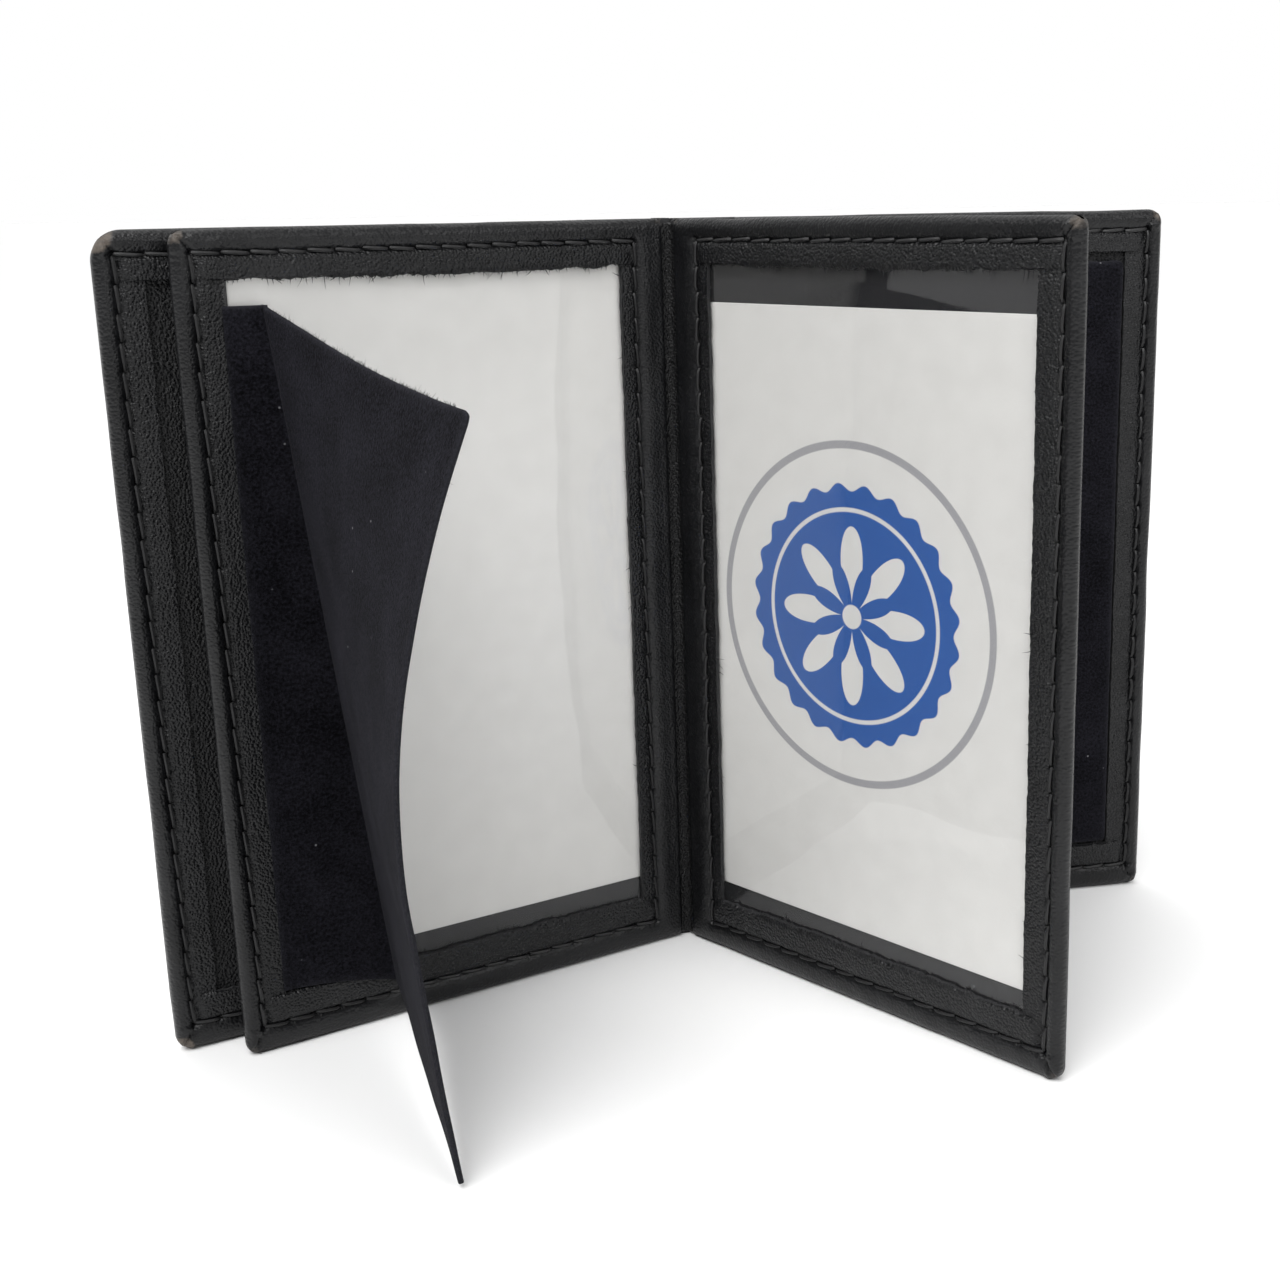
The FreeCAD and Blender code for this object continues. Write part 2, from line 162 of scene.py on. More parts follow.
def mix_color(tree, fac, a, b, blend="MIX"):
    n = tree.nodes.new("ShaderNodeMix")
    n.data_type = "RGBA"
    n.blend_type = blend
    for socket, v in ((n.inputs[0], fac), (n.inputs[6], a), (n.inputs[7], b)):
        if isinstance(v, (int, float)):
            socket.default_value = v
        elif isinstance(v, tuple):
            socket.default_value = (*v, 1.0)
        else:
            tree.links.new(v, socket)
    return n.outputs[2]


def texture(tree, kind, where, **values):
    """A noise or Voronoi texture read at where."""
    n = node(tree, "ShaderNodeTex" + kind, **values)
    tree.links.new(where, n.inputs["Vector"])
    return n


def fade(tree, low, high, source):
    """Black at low and white at high."""
    return ramp(tree, [(low, (0.0, 0.0, 0.0)), (high, (1.0, 1.0, 1.0))], source).outputs["Color"]


def dots(tree, radius, source):
    """White at the cell centres, black past the radius."""
    return ramp(tree, [(0.0, (1.0, 1.0, 1.0)), (radius, (0.0, 0.0, 0.0))], source).outputs["Color"]


def relief(tree, height, strength, distance, under=None):
    """A bump's normal, laid over another bump's normal."""
    n = node(tree, "ShaderNodeBump", Strength=strength, Distance=distance)
    tree.links.new(height, n.inputs["Height"])
    if under is not None:
        tree.links.new(under, n.inputs["Normal"])
    return n.outputs["Normal"]


def principled(tree, color, normal=None, **values):
    """A principled shader; color is a socket or a constant."""
    n = node(tree, "ShaderNodeBsdfPrincipled", **values)
    if isinstance(color, tuple):
        n.inputs["Base Color"].default_value = (*color, 1.0)
    else:
        tree.links.new(color, n.inputs["Base Color"])
    if normal is not None:
        tree.links.new(normal, n.inputs["Normal"])
    return n


def finished(material, tree, shader):
    tree.links.new(shader.outputs[0], node(tree, "ShaderNodeOutputMaterial").inputs["Surface"])
    return material


def surface_place(tree):
    """Millimetres on the leather or felt itself, so that grain stays put when a piece bends."""
    return node(tree, "ShaderNodeAttribute", attribute_name="flat_mm").outputs["Vector"]


def leather(name, dark=(0.0034, 0.0035, 0.0041), light=(0.0085, 0.0087, 0.0097), grain=1.0, rough=0.40):
    m, t = new_material(name)
    where = surface_place(t)
    rim = node(t, "ShaderNodeAttribute", attribute_name="rim").outputs["Fac"]
    wear = node(t, "ShaderNodeAttribute", attribute_name="wear").outputs["Fac"]
    warp = texture(t, "Noise", where, Scale=0.9, Detail=2.0)
    moved = t.nodes.new("ShaderNodeVectorMath")
    moved.operation = "MULTIPLY_ADD"
    t.links.new(warp.outputs["Color"], moved.inputs[0])
    moved.inputs[1].default_value = (0.35, 0.35, 0.35)
    t.links.new(where, moved.inputs[2])
    pebble = node(t, "ShaderNodeTexVoronoi", Scale=2.5, Randomness=1.0)
    pebble.feature = "SMOOTH_F1"
    pebble.inputs["Smoothness"].default_value = 0.2
    t.links.new(moved.outputs[0], pebble.inputs["Vector"])
    crease = node(t, "ShaderNodeTexVoronoi", Scale=0.42, Randomness=1.0)
    crease.feature = "DISTANCE_TO_EDGE"
    t.links.new(moved.outputs[0], crease.inputs["Vector"])
    fine = texture(t, "Noise", where, Scale=6.5, Detail=4.0, Roughness=0.62)
    broad = texture(t, "Noise", where, Scale=0.09, Detail=3.0, Roughness=0.55)
    cloud = ramp(t, [(0.3, dark), (0.72, light)], broad.outputs["Fac"])
    valley = fade(t, 0.0, 0.42, pebble.outputs["Distance"])
    # the tops of the pebbles are rubbed a little lighter than the lines between them
    tops = mix_color(t, 0.32, cloud.outputs["Color"], valley, "MULTIPLY")
    specks = texture(t, "Noise", where, Scale=2.4, Detail=5.0, Roughness=0.75)
    dust = fade(t, 0.70, 0.80, specks.outputs["Fac"])
    dusty = mix_color(t, math_node(t, "MULTIPLY", dust, 0.10), tops, (0.12, 0.12, 0.118))
    scuff = texture(t, "Noise", where, Scale=1.5, Detail=6.0, Roughness=0.7)
    worn = math_node(t, "ADD", wear, math_node(t, "SUBTRACT", scuff.outputs["Fac"], 1.12))
    worn = math_node(t, "MULTIPLY", worn, 2.2, clamp=True)
    color = mix_color(t, worn, dusty, (0.105, 0.088, 0.074))
    r = math_node(t, "MULTIPLY_ADD", fine.outputs["Fac"], 0.16, rough - 0.08)
    r = math_node(t, "MULTIPLY_ADD", worn, 0.3, r, clamp=True)
    soft = math_node(t, "MULTIPLY_ADD", rim, -0.62, 1.0)
    high = math_node(t, "MULTIPLY", pebble.outputs["Distance"], -1.0)
    lines = fade(t, 0.0, 0.12, crease.outputs["Distance"])
    normal = relief(t, math_node(t, "MULTIPLY", high, soft), 1.0, 0.00021 * grain)
    normal = relief(t, math_node(t, "MULTIPLY", lines, soft), 0.22, 0.00010, normal)
    normal = relief(t, fine.outputs["Fac"], 0.5, 0.00004, normal)
    bsdf = principled(t, color, normal, **{"Specular IOR Level": 0.32})
    t.links.new(math_node(t, "MULTIPLY_ADD", rim, -0.07, r), bsdf.inputs["Roughness"])
    return finished(m, t, bsdf)


def felt(name, base=(0.0006, 0.0006, 0.0012), tip=(0.0180, 0.0176, 0.0240), nap_deep=1.0):
    m, t = new_material(name)
    where = surface_place(t)
    edge = node(t, "ShaderNodeAttribute", attribute_name="rim").outputs["Fac"]
    nap = texture(t, "Noise", where, Scale=2.3, Detail=4.0, Roughness=0.75)
    patch = texture(t, "Noise", where, Scale=0.12, Detail=3.0)
    fibre = texture(t, "Voronoi", where, Scale=3.1)
    patchy = math_node(t, "MULTIPLY", patch.outputs["Fac"], 0.25)
    fac = math_node(t, "MULTIPLY_ADD", nap.outputs["Fac"], 0.80, patchy)
    col = ramp(t, [(0.42, base), (0.72, tip)], fac)
    lint = texture(t, "Voronoi", where, Scale=0.30)
    dot = dots(t, 0.06, lint.outputs["Distance"])
    odd = node(t, "ShaderNodeSeparateColor")
    t.links.new(lint.outputs["Color"], odd.inputs[0])
    rare = math_node(t, "GREATER_THAN", odd.outputs[0], 0.72)
    speck = math_node(t, "MULTIPLY", math_node(t, "MULTIPLY", dot, rare), 0.85)
    color = mix_color(t, speck, col.outputs["Color"], (0.34, 0.34, 0.36))
    # painted highlight: the felt is drawn lighter along its cut edges (where the rim share is high), standing in for
    # light caught on the edge
    color = mix_color(t, math_node(t, "MULTIPLY", edge, 0.6), color, (0.030, 0.030, 0.036))
    normal = relief(t, nap.outputs["Fac"], 0.9, 0.00030 * nap_deep)
    normal = relief(t, fibre.outputs["Distance"], 0.5, 0.00016 * nap_deep, normal)
    bsdf = principled(t, color, normal, Roughness=0.95, **{
        "Specular IOR Level": 0.08, "Sheen Weight": 0.03, "Sheen Roughness": 0.4, "Sheen Tint": (0.7, 0.7, 0.82, 1.0)})
    return finished(m, t, bsdf)


def plain_fibre(name, low, high, rough=0.7, scale=3.0, distance=0.00005):
    """Thread, cut leather, fibres or board: one colour broken up by fine fibres."""
    m, t = new_material(name)
    where = node(t, "ShaderNodeTexCoord").outputs["Object"]
    big = t.nodes.new("ShaderNodeVectorMath")
    big.operation = "SCALE"
    big.inputs["Scale"].default_value = 1000.0
    t.links.new(where, big.inputs[0])
    grain = texture(t, "Noise", big.outputs[0], Scale=scale, Detail=5.0, Roughness=0.7)
    col = ramp(t, [(0.3, low), (0.75, high)], grain.outputs["Fac"])
    normal = relief(t, grain.outputs["Fac"], 0.7, distance)
    return finished(m, t, principled(t, col.outputs["Color"], normal, Roughness=rough))


def card_material(name, mark=None):
    """Off-white card stock with specks; mark = (out, up, radius) prints a plain rosette there."""
    m, t = new_material(name)
    where = surface_place(t)
    stock = texture(t, "Noise", where, Scale=0.25, Detail=4.0)
    tooth = texture(t, "Noise", where, Scale=5.0, Detail=3.0)
    paper = ramp(t, [(0.3, (0.735, 0.728, 0.722)), (0.7, (0.775, 0.768, 0.762))], stock.outputs["Fac"])
    fleck = texture(t, "Voronoi", where, Scale=0.33)
    flecks = math_node(t, "MULTIPLY", dots(t, 0.035, fleck.outputs["Distance"]), 0.5)
    color = mix_color(t, flecks, paper.outputs["Color"], (0.2, 0.19, 0.18))
    if mark:
        out_mm, up_mm, radius = mark
        parts = node(t, "ShaderNodeSeparateXYZ")
        t.links.new(where, parts.inputs[0])

        def calc(op, *values):
            return math_node(t, op, *values)

        def step(value, at):
            return math_node(t, "MULTIPLY_ADD", calc("SUBTRACT", value, at), -6.0, 0.5, clamp=True)

        def ring(low, high):
            return calc("MULTIPLY", step(r, high), calc("SUBTRACT", 1.0, step(r, low)))

        def petals(kind, length, foot):
            waves = calc("ABSOLUTE", calc(kind, calc("MULTIPLY", angle, 4.0)))
            return step(calc("SUBTRACT", r, calc("MULTIPLY_ADD", waves, radius * length, radius * foot)), 0.0)

        x = calc("SUBTRACT", parts.outputs["X"], out_mm)
        y = calc("SUBTRACT", parts.outputs["Y"], up_mm)
        r = calc("SQRT", calc("ADD", calc("MULTIPLY", x, x), calc("MULTIPLY", y, y)))
        angle = calc("ARCTAN2", y, x)
        # a blue disc with a scalloped rim, and a white rosette of petals on it
        scallop = calc("MULTIPLY", calc("COSINE", calc("MULTIPLY", angle, 24.0)), 0.55)
        disc = step(calc("ADD", r, scallop), radius * 0.74)
        hoop = ring(radius * 0.955, radius)
        star = math_node(t, "SUBTRACT", petals("COSINE", 0.42, 0.10), petals("SINE", 0.24, 0.08), clamp=True)
        white = calc("MAXIMUM", star, ring(radius * 0.60, radius * 0.625))
        white = calc("MAXIMUM", white, step(r, radius * 0.07))
        blue = ramp(t, [(0.35, (0.020, 0.098, 0.36)), (0.65, (0.026, 0.115, 0.42))], tooth.outputs["Fac"])
        color = mix_color(t, calc("MULTIPLY", hoop, 0.85), color, (0.30, 0.30, 0.33))
        color = mix_color(t, calc("MULTIPLY", disc, calc("SUBTRACT", 1.0, white)), color, blue.outputs["Color"])
    normal = relief(t, tooth.outputs["Fac"], 0.2, 0.00001)
    return finished(m, t, principled(t, color, normal, Roughness=0.6, **{"Specular IOR Level": 0.3}))


def vinyl(name):
    """Clear sheet: mostly see-through, a soft gloss that grows towards grazing views, fine scuffs."""
    m, t = new_material(name)
    where = surface_place(t)
    sag = texture(t, "Noise", where, Scale=0.045, Detail=1.0)
    scuff = texture(t, "Noise", where, Scale=2.0, Detail=6.0, Roughness=0.7)
    haze = fade(t, 0.62, 0.82, scuff.outputs["Fac"])
    normal = relief(t, sag.outputs["Fac"], 1.0, 0.0002)
    clear = node(t, "ShaderNodeBsdfTransparent")
    clear.inputs["Color"].default_value = (0.97, 0.97, 0.965, 1.0)
    gloss = principled(t, (0.62, 0.62, 0.62), Metallic=0.0, **{"Specular IOR Level": 0.5})
    rough = math_node(t, "MULTIPLY_ADD", haze, 0.02, 0.03)
    shine = node(t, "ShaderNodeBsdfGlossy")
    shine.inputs["Color"].default_value = (1.0, 1.0, 1.0, 1.0)
    t.links.new(rough, shine.inputs["Roughness"])
    t.links.new(normal, shine.inputs["Normal"])
    fres = node(t, "ShaderNodeFresnel", IOR=1.5)
    t.links.new(normal, fres.inputs["Normal"])
    both = t.nodes.new("ShaderNodeMixShader")
    inside = node(t, "ShaderNodeNewGeometry").outputs["Backfacing"]
    facing = math_node(t, "SUBTRACT", 1.0, inside)
    t.links.new(math_node(t, "MULTIPLY", fres.outputs[0], facing), both.inputs[0])
    t.links.new(clear.outputs[0], both.inputs[1])
    t.links.new(shine.outputs[0], both.inputs[2])
    film = t.nodes.new("ShaderNodeMixShader")
    t.links.new(math_node(t, "MULTIPLY_ADD", haze, 0.004, 0.012), film.inputs[0])
    t.links.new(both.outputs[0], film.inputs[1])
    t.links.new(gloss.outputs[0], film.inputs[2])
    return finished(m, t, film)


LEATHER = leather("black_leather")
# painted shade: a darker, duller copy of the black leather, used for the fold deep between the leaves
SHADED_FOLD_LEATHER = leather("black_fold_leather_painted_shade", (0.0030, 0.0030, 0.0034), (0.006, 0.006, 0.0066), rough=0.5)
LINING = leather("black_lining_leather", (0.0032, 0.0033, 0.0038), (0.0075, 0.0077, 0.0085), grain=1.1, rough=0.5)
CUT = plain_fibre("cut_leather", (0.006, 0.006, 0.007), (0.035, 0.035, 0.037), 0.85, 4.0)
SCRAP = plain_fibre("leather_fibre", (0.006, 0.006, 0.007), (0.03, 0.03, 0.032), 0.8, 6.0)
THREAD = plain_fibre("black_thread", (0.0025, 0.0025, 0.003), (0.011, 0.011, 0.012), 0.5, 9.0)
FRAY = plain_fibre("frayed_thread", (0.02, 0.019, 0.018), (0.11, 0.10, 0.09), 0.8, 6.0)
FUZZ = plain_fibre("felt_fuzz", (0.008, 0.008, 0.011), (0.026, 0.026, 0.032), 0.9, 6.0)
BOARD = plain_fibre("grey_board", (0.16, 0.14, 0.115), (0.24, 0.215, 0.18), 0.9, 1.2, 0.00008)
FELT = felt("black_felt")
BACKING = felt("black_backing_felt", (0.007, 0.007, 0.009), (0.012, 0.012, 0.015), nap_deep=0.05)
VINYL = vinyl("clear_vinyl")
BLANK = card_material("card_stock")
PRINTED = card_material("card_stock_with_rosette", (34.3, 58.9, 25.1))


# ---- making meshes
def in_scene(name, data):
    o = bpy.data.objects.new(name, data)
    bpy.context.scene.collection.objects.link(o)
    return o


def make(name, points, faces, mats, body=None, flat=None, marks=None, pick=None, crease=38.0, close=True):
    """A mesh object from points in millimetres. flat: millimetres on the material; marks: named shares."""
    used = sorted({i for f in faces for i in f})
    back = {old: new for new, old in enumerate(used)}
    points = np.asarray(points, float)[used] * MM
    faces = [[back[i] for i in f] for f in faces]
    mesh = bpy.data.meshes.new(name)
    mesh.from_pydata(points.tolist(), [], faces)
    for m in mats:
        mesh.materials.append(m)
    if pick is not None:
        mesh.polygons.foreach_set("material_index", np.asarray(pick, np.int32))
    flat = points / MM if flat is None else np.asarray(flat, float)[used]
    layer = mesh.attributes.new("flat_mm", "FLOAT_VECTOR", "POINT")
    layer.data.foreach_set("vector", np.asarray(flat, np.float32).ravel())
    for key in ("rim", "wear"):
        values = np.zeros(len(points)) if marks is None or key not in marks else np.asarray(marks[key], float)[used]
        layer = mesh.attributes.new(key, "FLOAT", "POINT")
        layer.data.foreach_set("value", values.astype(np.float32))
    b = bmesh.new()
    b.from_mesh(mesh)
    if close:
        bmesh.ops.recalc_face_normals(b, faces=b.faces)
    for f in b.faces:
        f.smooth = True
    for e in b.edges:
        e.smooth = len(e.link_faces) == 2 and e.calc_face_angle(0.0) < math.radians(crease)
    b.to_mesh(mesh)
    b.free()
    o = in_scene(name, mesh)
    if body:
        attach(o, body)
    return o


def grid_faces(index):
    """Quads over a 2-D array of vertex numbers."""
    a, b, c, d = index[:-1, :-1], index[1:, :-1], index[1:, 1:], index[:-1, 1:]
    return np.stack([a, b, c, d], -1).reshape(-1, 4)


def closed_sheet(n, m):
    """Faces of a sheet whose front and back are n by m grids of points, joined round the edge."""
    front = np.arange(n * m).reshape(n, m)
    back = front + n * m
    faces = [list(map(int, f)) for f in grid_faces(front)] + [list(map(int, f[::-1])) for f in grid_faces(back)]
    loop = [(i, 0) for i in range(n - 1)] + [(n - 1, j) for j in range(m - 1)]
    loop += [(i, m - 1) for i in range(n - 1, 0, -1)] + [(0, j) for j in range(m - 1, 0, -1)]
    for p, q in zip(loop, loop[1:] + loop[:1]):
        faces.append([int(front[p]), int(front[q]), int(back[q]), int(back[p])])
    return faces


def flat_place(a, z, layer=0.0):
    """Grid points on the material itself; layers keep the front and back textures apart."""
    return np.stack([a, z, 0 * a + layer], -1).reshape(-1, 3)


def round_corner(a, z, corner_a, corner_z, sa, sz, r):
    """Squeezes the grid beside a square corner into a round one; sa and sz point out of it."""
    u = (sa * (a - corner_a) + r) / r
    v = (sz * (z - corner_z) + r) / r
    here = (u > 0) & (v > 0)
    u1 = u * np.sqrt(np.maximum(1 - v * v / 2, 0))
    v1 = v * np.sqrt(np.maximum(1 - u * u / 2, 0))
    return (np.where(here, corner_a + sa * r * (u1 - 1), a),
            np.where(here, corner_z + sz * r * (v1 - 1), z))


def tidy(face):
    """A face without repeated corners, or None."""
    out = []
    for i in face:
        if not out or out[-1] != i:
            out.append(int(i))
    if len(out) > 1 and out[0] == out[-1]:
        out.pop()
    return out if len(out) > 2 and len(set(out)) == len(out) else None


def tube(points, radius, sides=5, taper=False):
    """Points and faces of a thin round tube along a line of points."""
    p = np.asarray(points, float)
    way = np.gradient(p, axis=0)
    way /= np.linalg.norm(way, axis=1)[:, None] + 1e-12
    up = np.array([0.31, 0.52, 0.79])
    u = np.cross(way, up)
    u /= np.linalg.norm(u, axis=1)[:, None] + 1e-12
    v = np.cross(way, u)
    turn = np.linspace(0, 2 * math.pi, sides, endpoint=False)
    r = np.full(len(p), radius)
    if taper:
        r = radius * np.linspace(1.0, 0.25, len(p))
    rings = p[:, None] + r[:, None, None] * (
        np.cos(turn)[None, :, None] * u[:, None] + np.sin(turn)[None, :, None] * v[:, None])
    n = len(p)
    faces = []
    for i in range(n - 1):
        for k in range(sides):
            m = (k + 1) % sides
            faces.append([i * sides + k, i * sides + m, (i + 1) * sides + m, (i + 1) * sides + k])
    faces.append(list(range(sides))[::-1])
    faces.append([(n - 1) * sides + k for k in range(sides)])
    return rings.reshape(-1, 3), faces


class Heap:
    """Collects many small closed shapes into one mesh."""

    def __init__(self):
        self.points, self.faces, self.count = [], [], 0

    def add(self, points, faces):
        self.points.append(np.asarray(points, float))
        self.faces += [[i + self.count for i in f] for f in faces]
        self.count += len(points)

    def make(self, name, mats, body):
        return make(name, np.concatenate(self.points), self.faces, mats, body)


def spaced(marks, step, close):
    """Grid lines through every mark, about step apart, and close together beside the listed marks."""
    lines = set()
    for low, high in zip(marks[:-1], marks[1:]):
        n = max(1, int(round((high - low) / step)))
        lines.update(np.round(np.linspace(low, high, n + 1), 4))
    for at, offsets in close:
        lines.update(round(at + k, 4) for k in offsets)
    low, high = min(marks), max(marks)
    keep = []
    fixed = {round(m, 4) for m in marks}
    for x in sorted(x for x in lines if low - 1e-6 <= x <= high + 1e-6):
        if keep and x - keep[-1] < 0.06:
            if x in fixed:
                keep[-1] = x
            continue
        keep.append(x)
    return np.array(keep)


EDGE_IN = (0.0, 0.05, 0.15, 0.32, 0.55, 0.85, 1.2, 1.6, 2.0)
SEAM = (-0.75, -0.45, -0.22, 0.0, 0.22, 0.45, 0.75)
# Rectangles are (out from, out to, up from, up to); corner is the outer radius at the top and the bottom.
LEAF = dict(start=0.42, width=LEAF_W, front=LEAF_FRONT, thick=LEAF_T, floor=LEAF_POCKET, inner=0.9,
            window=(7.6, 65.3, 8.2, 107.7), stitch=(5.2, 68.9, 4.0, 111.1), hem=(5.8, 68.3, 4.6, 110.5))
COVER = dict(start=11.0, width=COVER_W, front=COVER_FRONT, thick=COVER_T, floor=COVER_POCKET, inner=0.0,
             window=(15.4, 73.55, 8.2, 107.7), stitch=(13.0, 77.1, 4.0, 111.1), hem=(13.4, 76.5, 4.6, 110.5))
SHAPE = {
    "left_leaf": dict(LEAF, corner=(2.3, 2.0), seed=3),
    "right_leaf": dict(LEAF, corner=(2.0, 2.2), seed=17),
    "left_cover": dict(COVER, corner=(4.2, 2.6), seed=29),
    "right_cover": dict(COVER, corner=(2.4, 2.0), seed=41),
}


def sides_of(rect):
    a1, a2, z1, z2 = rect
    return [("z", a1, z1, z2), ("z", a2, z1, z2), ("a", z1, a1, a2), ("a", z2, a1, a2)]


def stitch_relief(a, z, rect, groove=0.34, hole=0.55):
    """How far the seam sinks below the leather: a groove, and a pinch at every needle hole."""
    out = np.zeros_like(a)
    for way, line, low, high in sides_of(rect):
        along, across = (z, a) if way == "z" else (a, z)
        n = max(1, round((high - low) / PITCH))
        step = (high - low) / n
        past = np.maximum(np.maximum(low - along, along - high), 0)
        off = np.hypot(across - line, past)
        k = (along - low) / step
        f = np.abs(k - np.round(k)) * step
        pinch = hole * np.exp(-((across - line) / 0.40) ** 2 - (f / 0.45) ** 2) * (past < 0.3)
        out = np.maximum(out, groove * np.exp(-((off / 0.46) ** 2)) + pinch)
    return out


def round_box(a, z, low, high, foot, top, r):
    """Signed distance to a box with rounded corners, below zero inside."""
    qa = np.abs(a - (low + high) / 2) - (high - low) / 2 + r
    qz = np.abs(z - (foot + top) / 2) - (top - foot) / 2 + r
    return np.hypot(np.maximum(qa, 0), np.maximum(qz, 0)) + np.minimum(np.maximum(qa, qz), 0) - r


def inset(a, z, rect):
    """Distance inside a rectangle's nearest side, below zero outside."""
    a1, a2, z1, z2 = rect
    return np.minimum(np.minimum(a - a1, a2 - a), np.minimum(z - z1, z2 - z))


def edge_fall(d, reach, fall):
    k = np.clip(1 - d / reach, 0, 1)
    return fall * (1 - np.sqrt(np.maximum(1 - k * k, 0)))


def surfaces(leaf, a, z):
    """(depth of the front, depth of the back, share of rim, wear) over a leaf, before its corners are rounded."""
    s = SHAPE[leaf]
    start, width, front, thick, seed = s["start"], s["width"], s["front"], s["thick"], s["seed"]
    cover = leaf.endswith("cover")
    outer = np.minimum(width - a, np.minimum(z, HIGH - z))
    d = outer if cover else np.minimum(outer, a - start)
    d = np.maximum(d, 0)
    half = thick / 2
    # towards the spine the cover thins to its bending leather
    near = smooth(a, start, start + 5.0) if cover else np.ones_like(a)
    fall_back = 0.5 + (half - 0.5) * near
    reach = 0.7 + 0.9 * near
    a1, a2, z1, z2 = s["stitch"]
    inside = inset(a, z, s["stitch"])
    seam = stitch_relief(a, z, s["stitch"])
    rim = smooth(-inside, -0.15, 0.15)
    uneven = 0.05 * wave(a, z, 7.0, seed) + 0.02 * wave(a, z, 1.6, seed + 1)
    crown = -0.13 * np.exp(-((inside + 1.7) / 0.9) ** 2)
    strip = 0.16 * smooth(inside, 0.0, 0.5)
    w1, w2, y1, y2 = s["window"]
    upper = round_box(a, z, a1 + 0.5, a2 - 0.7, y2, z2 + 2.0, 1.7)
    lower = round_box(a, z, a1 + 0.5, a2 - 0.9, z1 - 2.0, y1, 2.0)
    lap = np.minimum(upper, lower)
    inner = smooth(inside, 0.1, 0.5)
    raised = -0.26 * smooth(-lap, -0.10, 0.14) * inner
    slit = 0.26 * np.exp(-(((lap - 0.12) / 0.18) ** 2)) * inner
    # the side edges are turned over the top and bottom ones, which leaves a slit at each corner
    beyond = smooth(z, z2 - 0.2, z2 + 0.5) + smooth(z1 - z, -0.2, 0.5)
    reach_z = np.where(z > HIGH / 2, (z - z2) / (HIGH - z2), (z1 - z) / z1)
    mitre = (a - a2 + 0.5) / (width - a2 + 0.2) - reach_z
    fold = 0.42 * np.exp(-((mitre / 0.13) ** 2)) * beyond * smooth(d, 0.0, 0.6)
    fold = fold - 0.16 * smooth(mitre, 0.0, 0.25) * beyond * np.exp(-(((a - width + 1.6) / 1.8) ** 2))
    pucker = 0.10 * wave(a * 1.6, z * 0.8, 1.3, seed + 5) * beyond * smooth(a, a2 - 3.0, a2 + 1.0)
    front_d = front + seam + crown * rim + strip + raised + slit + fold + pucker + uneven * smooth(d, 0, 1.0)
    front_d = front_d + edge_fall(np.maximum(outer, 0), 1.5, thick - fall_back)
    if not cover:
        front_d = front_d + edge_fall(np.maximum(a - start, 0), 0.7, 0.6)
    back_seam = stitch_relief(a, z, s["stitch"], 0.18, 0.3)
    back_d = front + thick - back_seam * smooth(d, 0.3, 1.2) - edge_fall(d, reach, fall_back)
    back_d = back_d + (0.05 * wave(a, z, 9.0, seed + 2) + 0.015 * wave(a, z, 1.8, seed + 3)) * smooth(d, 0, 1.2)
    top_c = np.hypot(width - 0.8 - a, HIGH - 0.8 - z)
    low_c = np.hypot(width - 0.8 - a, z - 0.8)
    worn = np.exp(-((top_c / 1.5) ** 2)) + 0.8 * np.exp(-((low_c / 1.4) ** 2))
    if leaf == "left_cover":
        worn = worn + 1.2 * np.exp(-((low_c / 1.6) ** 2)) + 0.8 * np.exp(-((top_c / 2.2) ** 2))
    worn = worn + 0.10 * np.exp(-((d / 0.35) ** 2)) * (0.5 + 0.5 * wave(a, z, 6.0, seed + 9))
    if not cover:
        tip = np.hypot(a - start - 0.4, HIGH - 0.5 - z)
        worn = worn + 0.7 * np.exp(-((tip / 1.3) ** 2))
    return front_d, back_d, rim, np.clip(worn, 0, 1), d


def round_outline(leaf, a, z):
    """Moves grid points so that the outline's square corners become round, and is a little uneven."""
    s = SHAPE[leaf]
    a, z = a.copy(), z.copy()
    spots = [(s["width"], HIGH, 1, 1, s["corner"][0]), (s["width"], 0.0, 1, -1, s["corner"][1])]
    if s["inner"]:
        spots += [(s["start"], HIGH, -1, 1, s["inner"]), (s["start"], 0.0, -1, -1, s["inner"])]
    for ca, cz, sa, sz, r in spots:
        a, z = round_corner(a, z, ca, cz, sa, sz, r)
    near = np.exp(-np.minimum(np.minimum(s["width"] - a, z), HIGH - z).clip(0) / 1.5)
    pull = 0.09 * wave(a, z, 11.0, s["seed"] + 7) * near
    a = a + np.where(s["width"] - a < 2.5, np.minimum(pull, 0), 0)
    z = np.where(HIGH - z < 2.5, z + np.minimum(pull, 0), z)
    z = np.where(z < 2.5, z + 0.4 * np.maximum(pull, 0), z)
    return a, z


